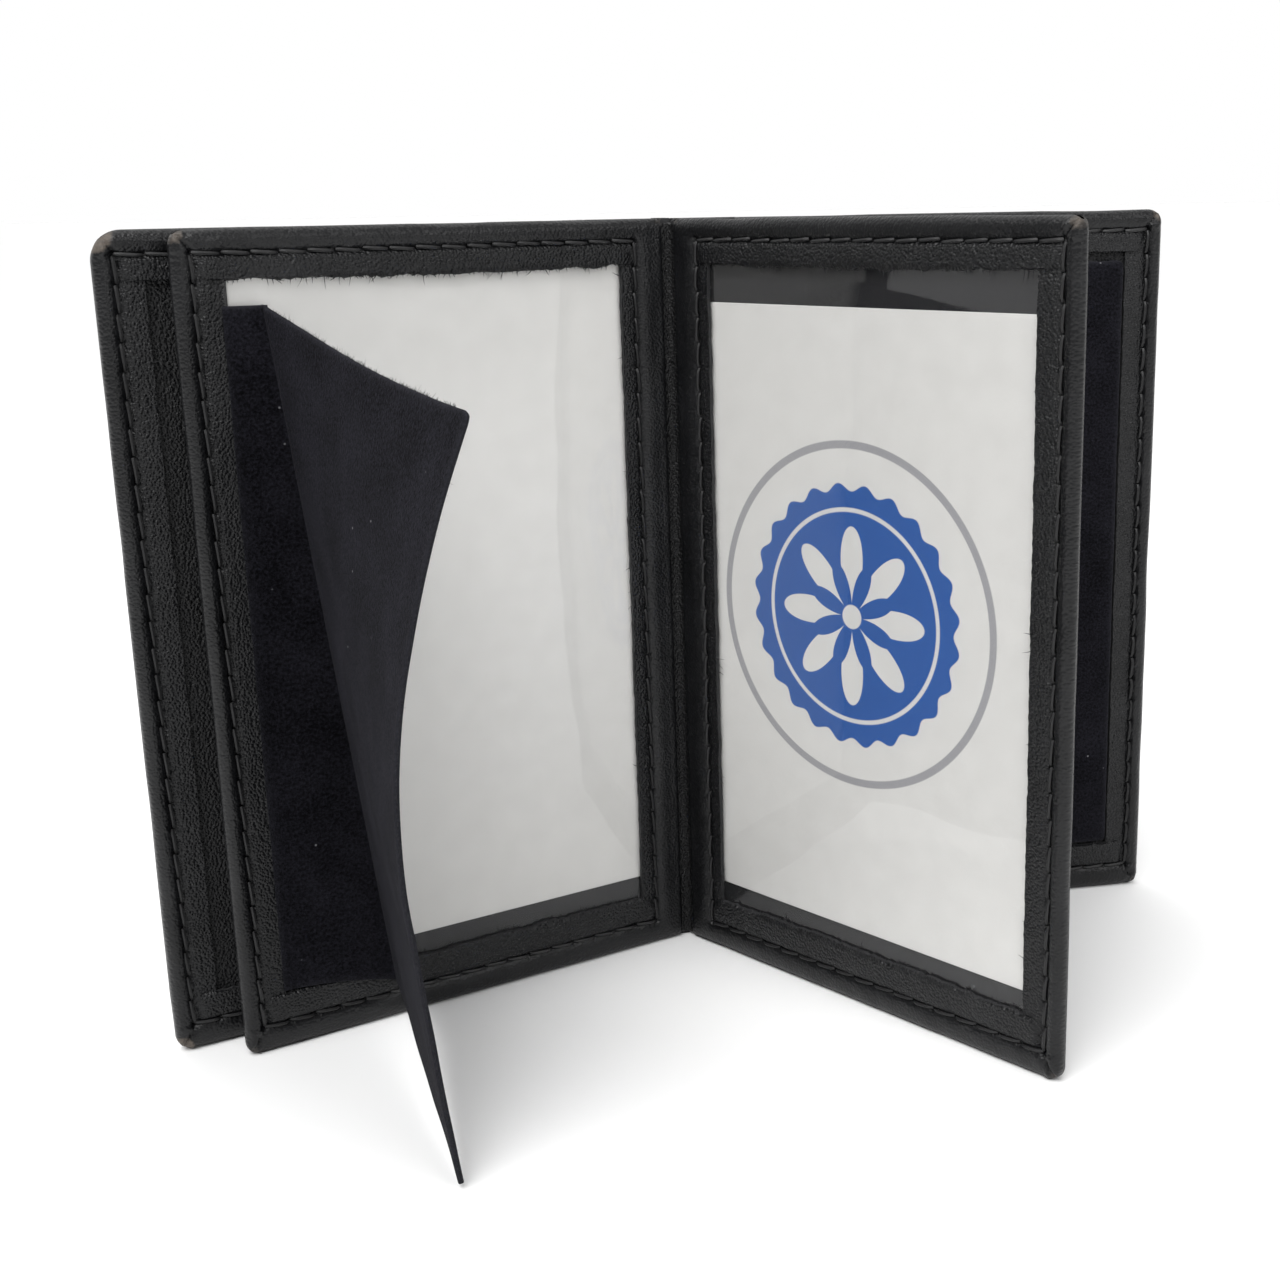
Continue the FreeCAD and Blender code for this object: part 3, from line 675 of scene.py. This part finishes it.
def leaf_shell(name, leaf, nodes):
    """The leather of one leaf: turned edges, stitched strips round the window, and the back."""
    s = SHAPE[leaf]
    cover = leaf.endswith("cover")
    start, width, front = s["start"], s["width"], s["front"]
    a1, a2, z1, z2 = s["stitch"]
    w1, w2, y1, y2 = s["window"]
    step = PITCH / 5
    ends_in = EDGE_IN if not cover else (0.0,)
    a_lines = spaced(sorted([start, a1, w1, w2, a2, width]), step, [
        (start, ends_in), (width, [-k for k in EDGE_IN]), (a1, SEAM), (a2, SEAM),
        (w1, (0.0, -0.25)), (w2, (0.0, 0.25))])
    z_lines = spaced(sorted([0.0, z1, y1, y2, z2, HIGH]), step, [
        (0.0, EDGE_IN), (HIGH, [-k for k in EDGE_IN]), (z1, SEAM), (z2, SEAM),
        (y1, (0.0, -0.2)), (y2, (0.0, 0.2)), (y1 + 0.25, (0.0,)), (y2 - 0.25, (0.0,))])
    a, z = np.meshgrid(a_lines, z_lines, indexing="ij")
    front_d, back_d, rim, worn, d = surfaces(leaf, a, z)
    na, nz = a.shape
    fringe = d <= 1e-6
    mid = np.where(fringe, (front_d + back_d) / 2, 0)
    front_d = np.where(fringe, mid, front_d)
    back_d = np.where(fringe, mid, back_d)
    ra, rz = round_outline(leaf, a, z)
    # raw cut edges of the window wander a little
    i1, i2 = int(np.argmin(abs(a_lines - w1))), int(np.argmin(abs(a_lines - w2)))
    j1, j2 = int(np.argmin(abs(z_lines - y1))), int(np.argmin(abs(z_lines - y2)))

    def rough(seed, size):
        seed += s["seed"]
        return size * (0.14 * wave(a, z, 3.2, seed) + 0.12 * wave(a, z, 0.5, seed + 1))

    span_z = np.zeros_like(a, bool)
    span_z[:, j1 + 1:j2] = True
    span_a = np.zeros_like(a, bool)
    span_a[i1 + 1:i2, :] = True
    bow = 0.32 * np.sin(math.pi * np.clip((a - w1) / (w2 - w1), 0, 1)) * (0 if cover else 1)
    fa, fz = ra.copy(), rz.copy()
    for i in (i1, i2):
        fa[i] = np.where(span_z[i], ra[i] + rough(20, 0.35)[i], ra[i])
    for j, sign in ((j1, 1), (j2, -1)):
        fz[:, j] = np.where(span_a[:, j], rz[:, j] + rough(30, 1.0)[:, j] + sign * bow[:, j], rz[:, j])
    F = np.arange(na * nz).reshape(na, nz)
    B = F + na * nz
    B = np.where(fringe, F, B)
    pts_f = place(leaf, fa, front_d, fz).reshape(-1, 3)
    pts_b = place(leaf, ra, back_d, rz).reshape(-1, 3)
    points, flats = [pts_f, pts_b], [flat_place(fa, fz), flat_place(ra, rz, 9.0)]
    rims = [rim.ravel(), np.clip(0.25 + 0.6 * np.exp(-d / 1.2), 0, 1).ravel()]
    wears = [worn.ravel(), worn.ravel()]
    faces, pick = [], []
    hole = np.zeros((na - 1, nz - 1), bool)
    hole[i1:i2, j1:j2] = True
    for f, gone in zip(grid_faces(F), hole.ravel()):
        if not gone:
            faces.append([int(i) for i in f])
            pick.append(0)
    for f in grid_faces(B):
        t = tidy(f[::-1])
        if t:
            faces.append(t)
            pick.append(0)
    for j in range(nz - 1 if cover else 0):
        t = tidy([F[0, j], F[0, j + 1], B[0, j + 1], B[0, j]])
        if t:
            faces.append(t)
            pick.append(1)
    # the cut edge round the window, the underside of the strips and the pocket behind them
    loop = [(i, j1) for i in range(i1, i2)] + [(i2, j) for j in range(j1, j2)]
    loop += [(i, j2) for i in range(i2, i1, -1)] + [(i1, j) for j in range(j2, j1, -1)]
    base = 2 * na * nz
    n = len(loop)
    ii = np.array([p[0] for p in loop])
    jj = np.array([p[1] for p in loop])
    h1, h2, g1, g2 = s["hem"]
    la, lz = fa[ii, jj], fz[ii, jj]
    oa = np.where(ii == i1, h1, np.where(ii == i2, h2, la))
    oz = np.where(jj == j1, g1, np.where(jj == j2, g2, lz))
    rings = [(la, lz, front + STRIP), (oa, oz, front + STRIP), (oa, oz, front + s["floor"])]
    for ka, kz, kd in rings:
        points.append(place(leaf, ka, kd + 0 * ka, kz))
        flats.append(flat_place(ka, kz, kd))
        rims.append(np.zeros(n))
        wears.append(np.zeros(n))
    chain = [F[ii, jj]] + [base + k * n + np.arange(n) for k in range(3)]
    for k in range(3):
        for q in range(n):
            r = (q + 1) % n
            faces.append([int(chain[k][q]), int(chain[k][r]), int(chain[k + 1][r]), int(chain[k + 1][q])])
            pick.append(1)
    faces.append([int(x) for x in chain[3]])
    pick.append(1)
    o = make(name, np.concatenate(points), faces, [LEATHER, CUT], leaf, np.concatenate(flats),
             {"rim": np.concatenate(rims), "wear": np.concatenate(wears)}, pick)
    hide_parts(*nodes)
    # loose fibres of the cut edge, over the window
    r = np.random.default_rng(s["seed"] + 200)
    heap = Heap()
    for q in range(n):
        along_top = jj[q] in (j1, j2)
        for _ in range(4 if along_top else 1):
            if r.random() < (0.7 if along_top else 0.2):
                inward = 1.0 if (jj[q] == j1 if along_top else ii[q] == i1) else -1.0
                way = np.array([0.0, inward, 0.0] if along_top else [inward, 0.0, 0.0])
                way = way + r.normal(0, 0.5, 3) * [1, 1, 0.25]
                t = np.linspace(0, 1, 4)[:, None]
                reach = r.uniform(0.15, 0.5) if r.random() < 0.85 else r.uniform(0.5, 1.0)
                at = np.array([la[q] + r.normal(0, 0.12) * along_top, lz[q], front + r.uniform(0.15, 0.7)])
                line = at + way * reach * t + r.normal(0, 0.25, 3) * [1, 1, 0.2] * reach * t * t - way * 0.1
                p, f = tube(line, r.uniform(0.05, 0.10), 4, taper=True)
                heap.add(place(leaf, p[:, 0], p[:, 2], p[:, 1]), f)
    heap.make(name + "_fray", [SCRAP], leaf)
    return o


def stitches(name, leaf, nodes):
    """Sewn thread: a row of short stitches on the front and one on the back, sinking into their holes."""
    s = SHAPE[leaf]
    r = np.random.default_rng(s["seed"] + 100)
    heap = Heap()
    for back in (False, True):
        for way, line, low, high in sides_of(s["stitch"]):
            n = max(1, round((high - low) / PITCH))
            step = (high - low) / n
            for k in range(n):
                t = np.linspace(0.06, 0.94, 9)
                along = low + (k + t) * step
                across = line + (t - 0.5) * 0.30 + r.normal(0, 0.05)
                a, z = (across, along) if way == "z" else (along, across)
                lift = r.normal(0, 0.02)
                sink = 0.62 * np.abs(2 * t - 1) ** 5
                if back:
                    depth = s["front"] + s["thick"] - 0.17 - 0.5 * sink + lift
                else:
                    depth = s["front"] + 0.13 + sink + lift
                p, f = tube(np.stack([a, z, depth + 0 * a], -1), 0.27 + r.normal(0, 0.012), 6)
                heap.add(place(leaf, p[:, 0], p[:, 2], p[:, 1]), f)
    o = heap.make(name, [THREAD], leaf)
    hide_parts(*nodes)
    return o


def plate(name, leaf, body, span, depths, mat, nodes, bulge=None, corner=1.0, step=1.5, seed=0):
    """A thin sheet of a leaf's pocket, closed all round, its corners rounded; bulge(a, z) moves it to the front."""
    a1, a2, z1, z2 = span
    near = (0.0, 0.12, 0.35, 0.8)
    a_lines = spaced([a1, a2], step, [(a1, near), (a2, [-k for k in near])])
    z_lines = spaced([z1, z2], step, [(z1, near), (z2, [-k for k in near])])
    a, z = np.meshgrid(a_lines, z_lines, indexing="ij")
    for ca, sa in ((a1, -1), (a2, 1)):
        for cz, sz in ((z1, -1), (z2, 1)):
            a, z = round_corner(a, z, ca, cz, sa, sz, corner)
    d = inset(a, z, span).clip(0)
    mid = (depths[0] + depths[1]) / 2
    if bulge:
        mid = mid - bulge(a, z)
    half = (depths[1] - depths[0]) / 2
    half = half * np.sqrt(np.clip(1 - np.clip(1 - d / (half * 1.2), 0, 1) ** 2, 0.02, 1))
    if seed:
        a = a + 0.05 * wave(a, z, 1.5, seed + 1) * np.exp(-d)
        z = z + 0.05 * wave(a, z, 1.5, seed + 2) * np.exp(-d)
    points = np.concatenate([place(leaf, a, mid + side, z).reshape(-1, 3) for side in (-half, half)])
    flat = np.concatenate([flat_place(a, z), flat_place(a, z, 5)])
    edge = np.concatenate([np.exp(-d / 0.35).ravel()] * 2)
    o = make(name, points, closed_sheet(*a.shape), [mat], body, flat, {"rim": edge})
    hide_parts(*nodes)
    return o


def window_bulge(leaf, high):
    w1, w2, y1, y2 = SHAPE[leaf]["window"]

    def bulge(a, z):
        u = np.clip((a - w1) / (w2 - w1), 0, 1)
        v = np.clip((z - y1) / (y2 - y1), 0, 1)
        body = np.sin(math.pi * u) ** 0.8 * np.sin(math.pi * v) ** 0.6
        ripple = 1 + 0.35 * wave(a, z, 30.0, SHAPE[leaf]["seed"] + 50)
        return high * body * ripple

    return bulge


def band(name, path, z_low, z_high, thick, mat, a_flat, seed):
    """Leather running along a path in the row frame's plane and standing up from z_low to z_high."""
    p = np.asarray(path, float)
    way = np.gradient(p, axis=0)
    way /= np.linalg.norm(way, axis=1)[:, None]
    out = np.stack([way[:, 1], -way[:, 0]], -1)
    near = (0.0, 0.06, 0.18, 0.38, 0.7, 1.2)
    z_lines = spaced([z_low, z_high], 1.2, [(z_low, near), (z_high, [-k for k in near])])
    run = np.concatenate([[0], np.cumsum(np.linalg.norm(np.diff(p, axis=0), axis=1))]) + a_flat
    s, z = np.meshgrid(run, z_lines, indexing="ij")
    d = np.minimum(z - z_low, z_high - z)
    half = thick / 2 * np.sqrt(np.clip(1 - np.clip(1 - d / (thick * 0.6), 0, 1) ** 2, 0.01, 1))
    shift = 0.03 * wave(s, z, 8.0, seed) * smooth(d, 0, 1)
    sides = []
    for sign in (1, -1):
        off = sign * half + shift
        x = AXIS[0] + p[:, 0][:, None] + out[:, 0][:, None] * off
        y = AXIS[1] + p[:, 1][:, None] + out[:, 1][:, None] * off
        sides.append(np.stack([x, y, z], -1).reshape(-1, 3))
    flat = np.concatenate([flat_place(s, z), flat_place(s, z, 9)])
    edge = np.concatenate([np.exp(-d / 0.5).ravel()] * 2)
    o = make(name, np.concatenate(sides), closed_sheet(*s.shape), [mat], None, flat, {"rim": edge})
    return o


def off_axis(leaf, a, depth):
    """A leaf's point as an offset from the fold's axis, in the plane of the floor."""
    p = place(leaf, a, depth, 0.0)
    return p[..., :2] - AXIS[:2]


def arc(radius, from_deg, to_deg, count):
    t = np.radians(np.linspace(from_deg, to_deg, count))
    return np.stack([radius * np.cos(t), radius * np.sin(t)], -1)


def metres(leaf, a, depth, z):
    return tuple(float(v) * MM for v in place(leaf, a, depth, z))


# ---- the leaves and covers
for leaf, skin, back in (("left_leaf", "_leather", "_back"), ("right_leaf", "_leather", "_back"),
                         ("left_cover", "_skin", "_leather"), ("right_cover", "_skin", "_leather")):
    strips = [leaf + "_strip_" + k for k in ("top", "bottom", "spine", "outer")]
    leaf_shell(leaf + skin, leaf, [leaf + back] + strips)
    stitches(leaf + "_stitches", leaf, [leaf + "_thread"])
    if leaf.endswith("cover"):
        plate(leaf + "_lining", leaf, leaf, (13.6, 76.3, 4.9, 110.2), (4.27, 4.83), LINING, [leaf + "_panel"],
              corner=1.5, seed=SHAPE[leaf]["seed"] + 60)

for side, card, stock in (("left", (6.2, 64.5, 11.7, 108.7), BLANK), ("right", (6.2, 67.7, 11.2, 102.2), PRINTED)):
    leaf = side + "_leaf"
    plate(leaf + "_pane", leaf, leaf, (5.9, 68.2, 4.8, 110.3), (1.29, 1.47), VINYL, [side + "_window"],
          window_bulge(leaf, 0.30), step=1.2)
    plate(side + "_card_stock", leaf, side + "_card", card, (1.62, 1.88), stock, [side + "_card"],
          window_bulge(leaf, 0.06), corner=1.2)
    backing = plate(leaf + "_backing_felt", leaf, leaf, (6.0, 68.1, 4.9, 110.3), (2.02, 2.32), BACKING,
                    [side + "_backing"], seed=SHAPE[leaf]["seed"] + 70)


# ---- felt flaps
def fibres(name, body, roots, ways, seed, mat=FUZZ, long=(0.3, 1.1), radius=0.028):
    """Loose fibres along a cut edge."""
    r = np.random.default_rng(seed)
    heap = Heap()
    for root, way in zip(roots, ways):
        length = r.uniform(*long)
        side = r.normal(0, 0.55, 3)
        t = np.linspace(0, 1, 4)[:, None]
        line = root + (way + 0.9 * side) * length * t + side[[1, 2, 0]] * length * 0.5 * t * t
        heap.add(*tube(line, radius, 3, taper=True))
    return heap.make(name, [mat], body)


# The left flap's free edge as it lies when shut, in the left leaf's frame (out from the spine, up).
FLAP_EDGE = np.array([
    (0.3, 7.22), (1.2, 12.82), (2.9, 20.7), (4.6, 29.6), (5.7, 38.0), (6.1, 48.0), (6.25, 57.7), (6.4, 64.9),
    (6.6, 73.0), (6.87, 82.3), (7.0, 91.4), (7.24, 100.35)])
CREASE_FOOT, CREASE_LOW, CREASE_HIGH = 49.2, 8.6, 104.4
CREASE_LEAN = math.tan(math.radians(6.6))
FLAP_DEPTH = 0.08
FLAP_THICK = 0.72
FLAP_HIGH = 96.0
PAST_CREASE = 0.40
LOW_DROOP = 2.6
# the flap opens fully at TURN_FULL and less above it; it would not open at all at TURN_NONE
TURN_NONE, TURN_FULL = 253.8, 36.4


def crease_at(z):
    return CREASE_FOOT + (z - CREASE_LOW) * CREASE_LEAN


def sheet_from_rows(name, mid, cut, body, a, z, seed):
    """A felt sheet from its middle surface and flat places; cut is the distance from the cut edge."""
    du = np.gradient(mid, axis=0)
    dv = np.gradient(mid, axis=1)
    normal = np.cross(du, dv)
    normal /= np.linalg.norm(normal, axis=2)[..., None]
    half = FLAP_THICK / 2 * np.sqrt(np.clip(1 - np.clip(1 - cut / (FLAP_THICK / 2), 0, 1) ** 2, 0.02, 1))
    rough = 0.03 * wave(a, z, 4.5, seed) * smooth(cut, 0, 0.6)
    points = [(mid + normal * (sign * half + rough)[..., None]).reshape(-1, 3) for sign in (1, -1)]
    flat = np.concatenate([flat_place(a, z), flat_place(a, z, 6)])
    edge = np.concatenate([np.exp(-cut / 0.4).ravel()] * 2)
    o = make(name, np.concatenate(points), closed_sheet(*a.shape), [FELT], body, flat, {"rim": edge})
    return o


def left_flap():
    hinge = JOINT["left_flap_hinge"]
    spot = np.array(hinge["pos_m"]) / MM
    axis = np.array(hinge["axis"])
    axis = axis / np.linalg.norm(axis)
    shut = -math.radians(hinge["range_deg"][0])
    ends = (0.0, 0.10, 0.25, 0.45, 0.75, 1.15, 1.6, 2.1, 2.7)
    s = spaced([0.0, FLAP_HIGH], 1.0, [(0.0, ends), (FLAP_HIGH, [-k for k in ends])]) / FLAP_HIGH
    key = (FLAP_EDGE[:, 1] - FLAP_EDGE[0, 1]) / (FLAP_EDGE[-1, 1] - FLAP_EDGE[0, 1])
    even = np.linspace(0, 1, 97)
    blur = np.exp(-0.5 * (np.arange(-9, 10) / 3.0) ** 2)
    line = np.interp(even, key, FLAP_EDGE[:, 0])
    more = np.concatenate([2 * line[0] - line[9:0:-1], line, 2 * line[-1] - line[-2:-11:-1]])
    edge_a = np.interp(s, even, np.convolve(more, blur / blur.sum(), "valid"))
    edge_z = np.interp(s, even, np.interp(even, key, FLAP_EDGE[:, 1]))
    crease_z = CREASE_LOW + (CREASE_HIGH - CREASE_LOW) * s
    crease_a = crease_at(crease_z)
    shut_a, shut_z, cut = [], [], []
    sag = np.exp(-((1 - s) / 0.22) ** 2)
    droop = np.exp(-((s / 0.06) ** 2))
    for k in range(len(s)):
        start = np.array([crease_a[k], crease_z[k]])
        end = np.array([edge_a[k], edge_z[k]])
        reach = np.linalg.norm(end - start)
        body = np.linspace(0, reach - 2.9, 42)
        u = np.concatenate([[-PAST_CREASE, -0.37, -0.28, -0.15], body, reach - np.array(ends[::-1])])
        way = (end - start) / reach
        row = start + u[:, None] * way
        share = np.clip(u / reach, 0, 1)
        up = -1.7 * sag[k] * np.sin(math.pi * share) ** 0.8 - LOW_DROOP * droop[k] * np.exp(-((u / 7.0) ** 2))
        shut_a.append(row[:, 0])
        shut_z.append(row[:, 1] + up)
        cut.append(np.minimum(np.minimum(u + PAST_CREASE, reach - u), min(s[k], 1 - s[k]) * FLAP_HIGH))
    shut_a, shut_z, cut = np.array(shut_a), np.array(shut_z), np.array(cut)
    # the two free corners are rounded
    rows, cols = shut_a.shape
    free = np.linalg.norm(np.stack([shut_a - edge_a[:, None], shut_z - edge_z[:, None]], -1), axis=2)
    for k in range(rows):
        up_mm = min(s[k], 1 - s[k]) * FLAP_HIGH
        r = 1.2 if s[k] < 0.5 else 1.5
        if up_mm >= r:
            continue
        for m in range(cols // 2, cols):
            if free[k, m] < r:
                u, v = 1 - free[k, m] / r, 1 - up_mm / r
                du = r * (1 - u * math.sqrt(1 - v * v / 2)) - free[k, m]
                dv = r * (1 - v * math.sqrt(1 - u * u / 2)) - up_mm
                shut_a[k, m] += du
                shut_z[k, m] += dv if s[k] < 0.5 else -dv
    ripple = 0.10 * wave(shut_a, shut_z, 17.0, 77) * smooth(crease_a[:, None] - shut_a, 3.0, 14.0)
    lying = place("left_leaf", shut_a, FLAP_DEPTH + ripple, shut_z)
    open_ = lying
    for _ in range(30):
        t = np.clip((TURN_NONE - open_[..., 2]) / (TURN_NONE - TURN_FULL), 0, 1)
        angle = (shut * t * t * (3 - 2 * t))[..., None]
        v = lying - spot
        open_ = (spot + v * np.cos(angle) + np.cross(axis, v) * np.sin(angle)
                 + axis * (v @ axis)[..., None] * (1 - np.cos(angle)))
    open_[..., 2] = np.maximum(open_[..., 2], 0.42)
    o = sheet_from_rows("left_flap_felt", open_, cut, None, shut_a, shut_z, 78)
    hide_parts("left_flap")
    start = metres("left_leaf", CREASE_FOOT, 0.15, TURN_NONE)
    end = metres("left_leaf", CREASE_FOOT, 0.15, TURN_FULL)
    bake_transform(o)
    # fibres on the free edge and the upper edge
    g = np.random.default_rng(91)
    roots, ways = [], []
    for count, low, high, edge, inner in ((900, 9.5, rows - 10.5, open_[:, -1], open_[:, -3]),
                                          (420, 6, cols - 10.5, open_[-1], open_[-3])):
        for _ in range(count):
            k = g.uniform(low, high)
            i = int(k)
            roots.append(edge[i] + (edge[i + 1] - edge[i]) * (k - i))
            way = edge[i] - inner[i]
            ways.append(way / np.linalg.norm(way))
    hairs = fibres("left_flap_fibres", None, roots, ways, 92, long=(0.08, 0.34), radius=0.035)
    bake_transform(hairs)


def left_flap_root():
    """The strip of felt from the seam to the crease, its lower corner sagging beside the crease."""
    ends = (0.0, 0.1, 0.25, 0.45, 0.8)
    s = spaced([0.0, FLAP_HIGH], 1.0, [(0.0, ends), (FLAP_HIGH, [-k for k in ends])]) / FLAP_HIGH
    rows_a, rows_z, cut = [], [], []
    for k in s:
        z = CREASE_LOW + (CREASE_HIGH - CREASE_LOW) * k
        start, end = 65.6, crease_at(z) - PAST_CREASE
        width = start - end
        u = np.concatenate([np.linspace(0, 1, 22) * (width - 0.45), width - np.array([0.28, 0.15, 0.06, 0.02, 0.0])])
        a = start - u
        rows_a.append(a)
        near = (u / width) ** 2
        rows_z.append(z - LOW_DROOP * math.exp(-((k / 0.06) ** 2)) * near)
        cut.append(np.minimum(np.minimum(width - u, u + 0.3), min(k, 1 - k) * FLAP_HIGH))
    a, z, cut = np.array(rows_a), np.array(rows_z), np.array(cut)
    depth = 0.78 - (0.78 - FLAP_DEPTH) * smooth(65.3 - a, 0.0, 65.3 - crease_at(z)) ** 0.7
    mid = place("left_leaf", a, depth, z)
    o = sheet_from_rows("left_flap_root_felt", mid, cut, "left_leaf", a, z, 79)
    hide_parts("left_flap_root")


left_flap_root()
left_flap()

right_felt = plate("right_flap_felt", "right_cover", "right_flap", (15.7, 73.25, 8.7, 106.4), (3.40, 4.05), FELT,
                   ["right_flap"], lambda a, z: 0.10 * wave(a, z, 14.0, 83), corner=1.2, step=1.0, seed=81)
r = np.random.default_rng(95)
roots = [place("right_cover", r.uniform(16.2, 72.8), 3.7, 106.3) for _ in range(260)]
ways = [np.array([0.0, 0.0, 1.0])] * len(roots)
fibres("right_flap_fibres", "right_flap", roots, ways, 96, long=(0.1, 0.35), radius=0.035)

# ---- leather round the fold
MID_HIGH = 57.0


def fold(name, leaf, turn, middle, radius, run, arcs, z_low, z_high, thick, mat, node_name, body, seed):
    """Half of the leather round the spine: an arc from the middle, then along the leaf."""
    flank = [off_axis(leaf, a, radius) for a in run]
    path = np.concatenate([arc(radius, middle, turn, arcs), flank])
    o = band(name, path, z_low, z_high, thick, mat, 0.0, seed)
    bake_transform(o)
    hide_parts(node_name)


outer_depth = COVER_FRONT + COVER_T - 0.4
join = 3.0
turns = {"left": TURN["left_cover"] - 90 + 360, "right": TURN["right_cover"] + 90}
for side, seed in (("left", 51), ("right", 52)):
    fold("spine_skin_" + side, side + "_cover", turns[side], sum(turns.values()) / 2, outer_depth,
         np.linspace(0, join, 5)[1:], 9, 0.0, HIGH, 0.8, LEATHER, "cover_spine_leather", side + "_leaf", seed)
for side in ("left", "right"):
    cover = side + "_cover"
    path = [off_axis(cover, a, outer_depth) for a in np.linspace(join, 11.3, 15)]
    o = band(side + "_cover_flank", path, 0.0, HIGH, 0.8, LEATHER, 3.0, 53 + len(side))
    metres(cover, join, outer_depth, MID_HIGH)
    metres(cover, 10.5, outer_depth, MID_HIGH)
    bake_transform(o)
    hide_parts("cover_spine_leather")
turns = {"left": TURN["left_leaf"] - 90 + 360, "right": TURN["right_leaf"] + 90}
for side in ("left", "right"):
    leaf = side + "_leaf"
    # the inner fold takes the darker copy of the leather, which paints shade into the fold
    fold("inner_fold_" + side, leaf, turns[side], sum(turns.values()) / 2, 1.3,
         np.linspace(0, 2.6, 6)[1:], 8, 0.4, HIGH - 0.6, 0.6, SHADED_FOLD_LEATHER, "inner_spine_leather", leaf, 57 + len(side))

r = np.random.default_rng(131)
heap = Heap()
for _ in range(26):
    t = np.linspace(0, 1, 5)[:, None]
    leaf = "left_leaf" if r.random() < 0.6 else "right_leaf"
    at = np.array([r.uniform(0.5, 1.6), r.uniform(0.6, 1.6), HIGH - r.uniform(0.25, 0.7)])
    way = r.normal(0, 0.6, 3) + [0.0, -0.3, 0.25]
    line = at + way * t * 0.8 + r.normal(0, 0.5, 3) * t * t
    line[:, 2] = np.minimum(line[:, 2], HIGH - 0.08)
    p, f = tube(line, r.uniform(0.03, 0.07), 4, taper=True)
    heap.add(place(leaf, p[:, 0], p[:, 1], p[:, 2]), f)
heap.make("fold_top_threads", [FRAY], "spine")

# ---- nodes kept from the frame
for name, mat in (("spine_tab", CUT), ("left_cover_board", BOARD), ("right_cover_board", BOARD)):
    o = bpy.data.objects[name]
    o.data.materials.clear()
    o.data.materials.append(mat)

# ---- floor, light, camera
def floor():
    b = bmesh.new()
    bmesh.ops.create_grid(b, x_segments=8, y_segments=8, size=40.0)
    mesh = bpy.data.meshes.new("floor")
    b.to_mesh(mesh)
    b.free()
    o = in_scene("floor", mesh)
    m, t = new_material("pale_floor")
    bsdf = principled(t, (0.9, 0.9, 0.898), Roughness=0.75, **{"Specular IOR Level": 0.2})
    mesh.materials.append(finished(m, t, bsdf))


floor()
scene = bpy.context.scene
scene.view_settings.view_transform = "Standard"
scene.view_settings.look = "None"
world = bpy.data.worlds.new("studio")
world.use_nodes = True
sky = world.node_tree
toward = node(sky, "ShaderNodeSeparateXYZ")
sky.links.new(node(sky, "ShaderNodeTexCoord").outputs["Generated"], toward.inputs[0])
spread = math_node(sky, "MULTIPLY_ADD", toward.outputs["Y"], 0.5, 0.5)
glow = ramp(sky, [(0.0, (0.16, 0.16, 0.16)), (0.5, (0.30, 0.30, 0.30)), (0.72, (1.0, 1.0, 1.0))], spread)
seen = node(sky, "ShaderNodeLightPath").outputs["Is Camera Ray"]
sky.links.new(mix_color(sky, seen, glow.outputs["Color"], (1.0, 1.0, 1.0)), sky.nodes["Background"].inputs["Color"])
sky.nodes["Background"].inputs["Strength"].default_value = 1.0
scene.world = world


def area_light(name, at, aim, size, power):
    data = bpy.data.lights.new(name, "AREA")
    data.shape = "RECTANGLE"
    data.size, data.size_y = size
    data.energy = power
    o = in_scene(name, data)
    o.location = at
    o.rotation_euler = (Vector(aim) - Vector(at)).to_track_quat("-Z", "Y").to_euler()
    return o


area_light("key", (-0.30, -0.45, 0.85), (0, 0, 0.05), (0.7, 0.4), 3.3)
area_light("fill", (0.65, -0.60, 0.60), (0, 0, 0.06), (0.5, 0.5), 2.7)
area_light("top", (0.05, 0.30, 0.95), (0, 0, 0.05), (0.9, 0.5), 1.2)
data = bpy.data.lights.new("soft_sun", "SUN")
data.energy = 2.2
data.angle = math.radians(50)
lamp = in_scene("soft_sun", data)
lamp.rotation_euler = Vector((0.25, 0.55, -1.0)).to_track_quat("-Z", "Y").to_euler()

pitch, yaw, roll = -0.2364, 0.02062, -0.01731
ahead = Vector((math.sin(yaw) * math.cos(pitch), math.cos(yaw) * math.cos(pitch), math.sin(pitch)))
right0 = Vector((math.cos(yaw), -math.sin(yaw), 0.0))
up0 = right0.cross(ahead)
right1 = math.cos(roll) * right0 + math.sin(roll) * up0
up1 = -math.sin(roll) * right0 + math.cos(roll) * up0
# the camera fitted to the object: focal length and centre in 1280ths of the picture, place in millimetres
PICTURE, SENSOR, FOCAL, CENTRE_X, CENTRE_Y = 1280, 36.0, 1663.161, 761.431, 606.227
data = bpy.data.cameras.new("camera")
data.sensor_width = SENSOR
data.lens = FOCAL / PICTURE * SENSOR
data.shift_x = (PICTURE / 2 - CENTRE_X) / PICTURE
data.shift_y = (CENTRE_Y - PICTURE / 2) / PICTURE
data.clip_start = 0.01
camera = in_scene("camera", data)
spot = Vector((AXIS[0] + 7.801, AXIS[1] - 251.8135, 115.847)) * MM
camera.matrix_world = Matrix((
    (right1.x, up1.x, -ahead.x, spot.x), (right1.y, up1.y, -ahead.y, spot.y),
    (right1.z, up1.z, -ahead.z, spot.z), (0, 0, 0, 1)))
scene.camera = camera

bpy.context.view_layer.update()
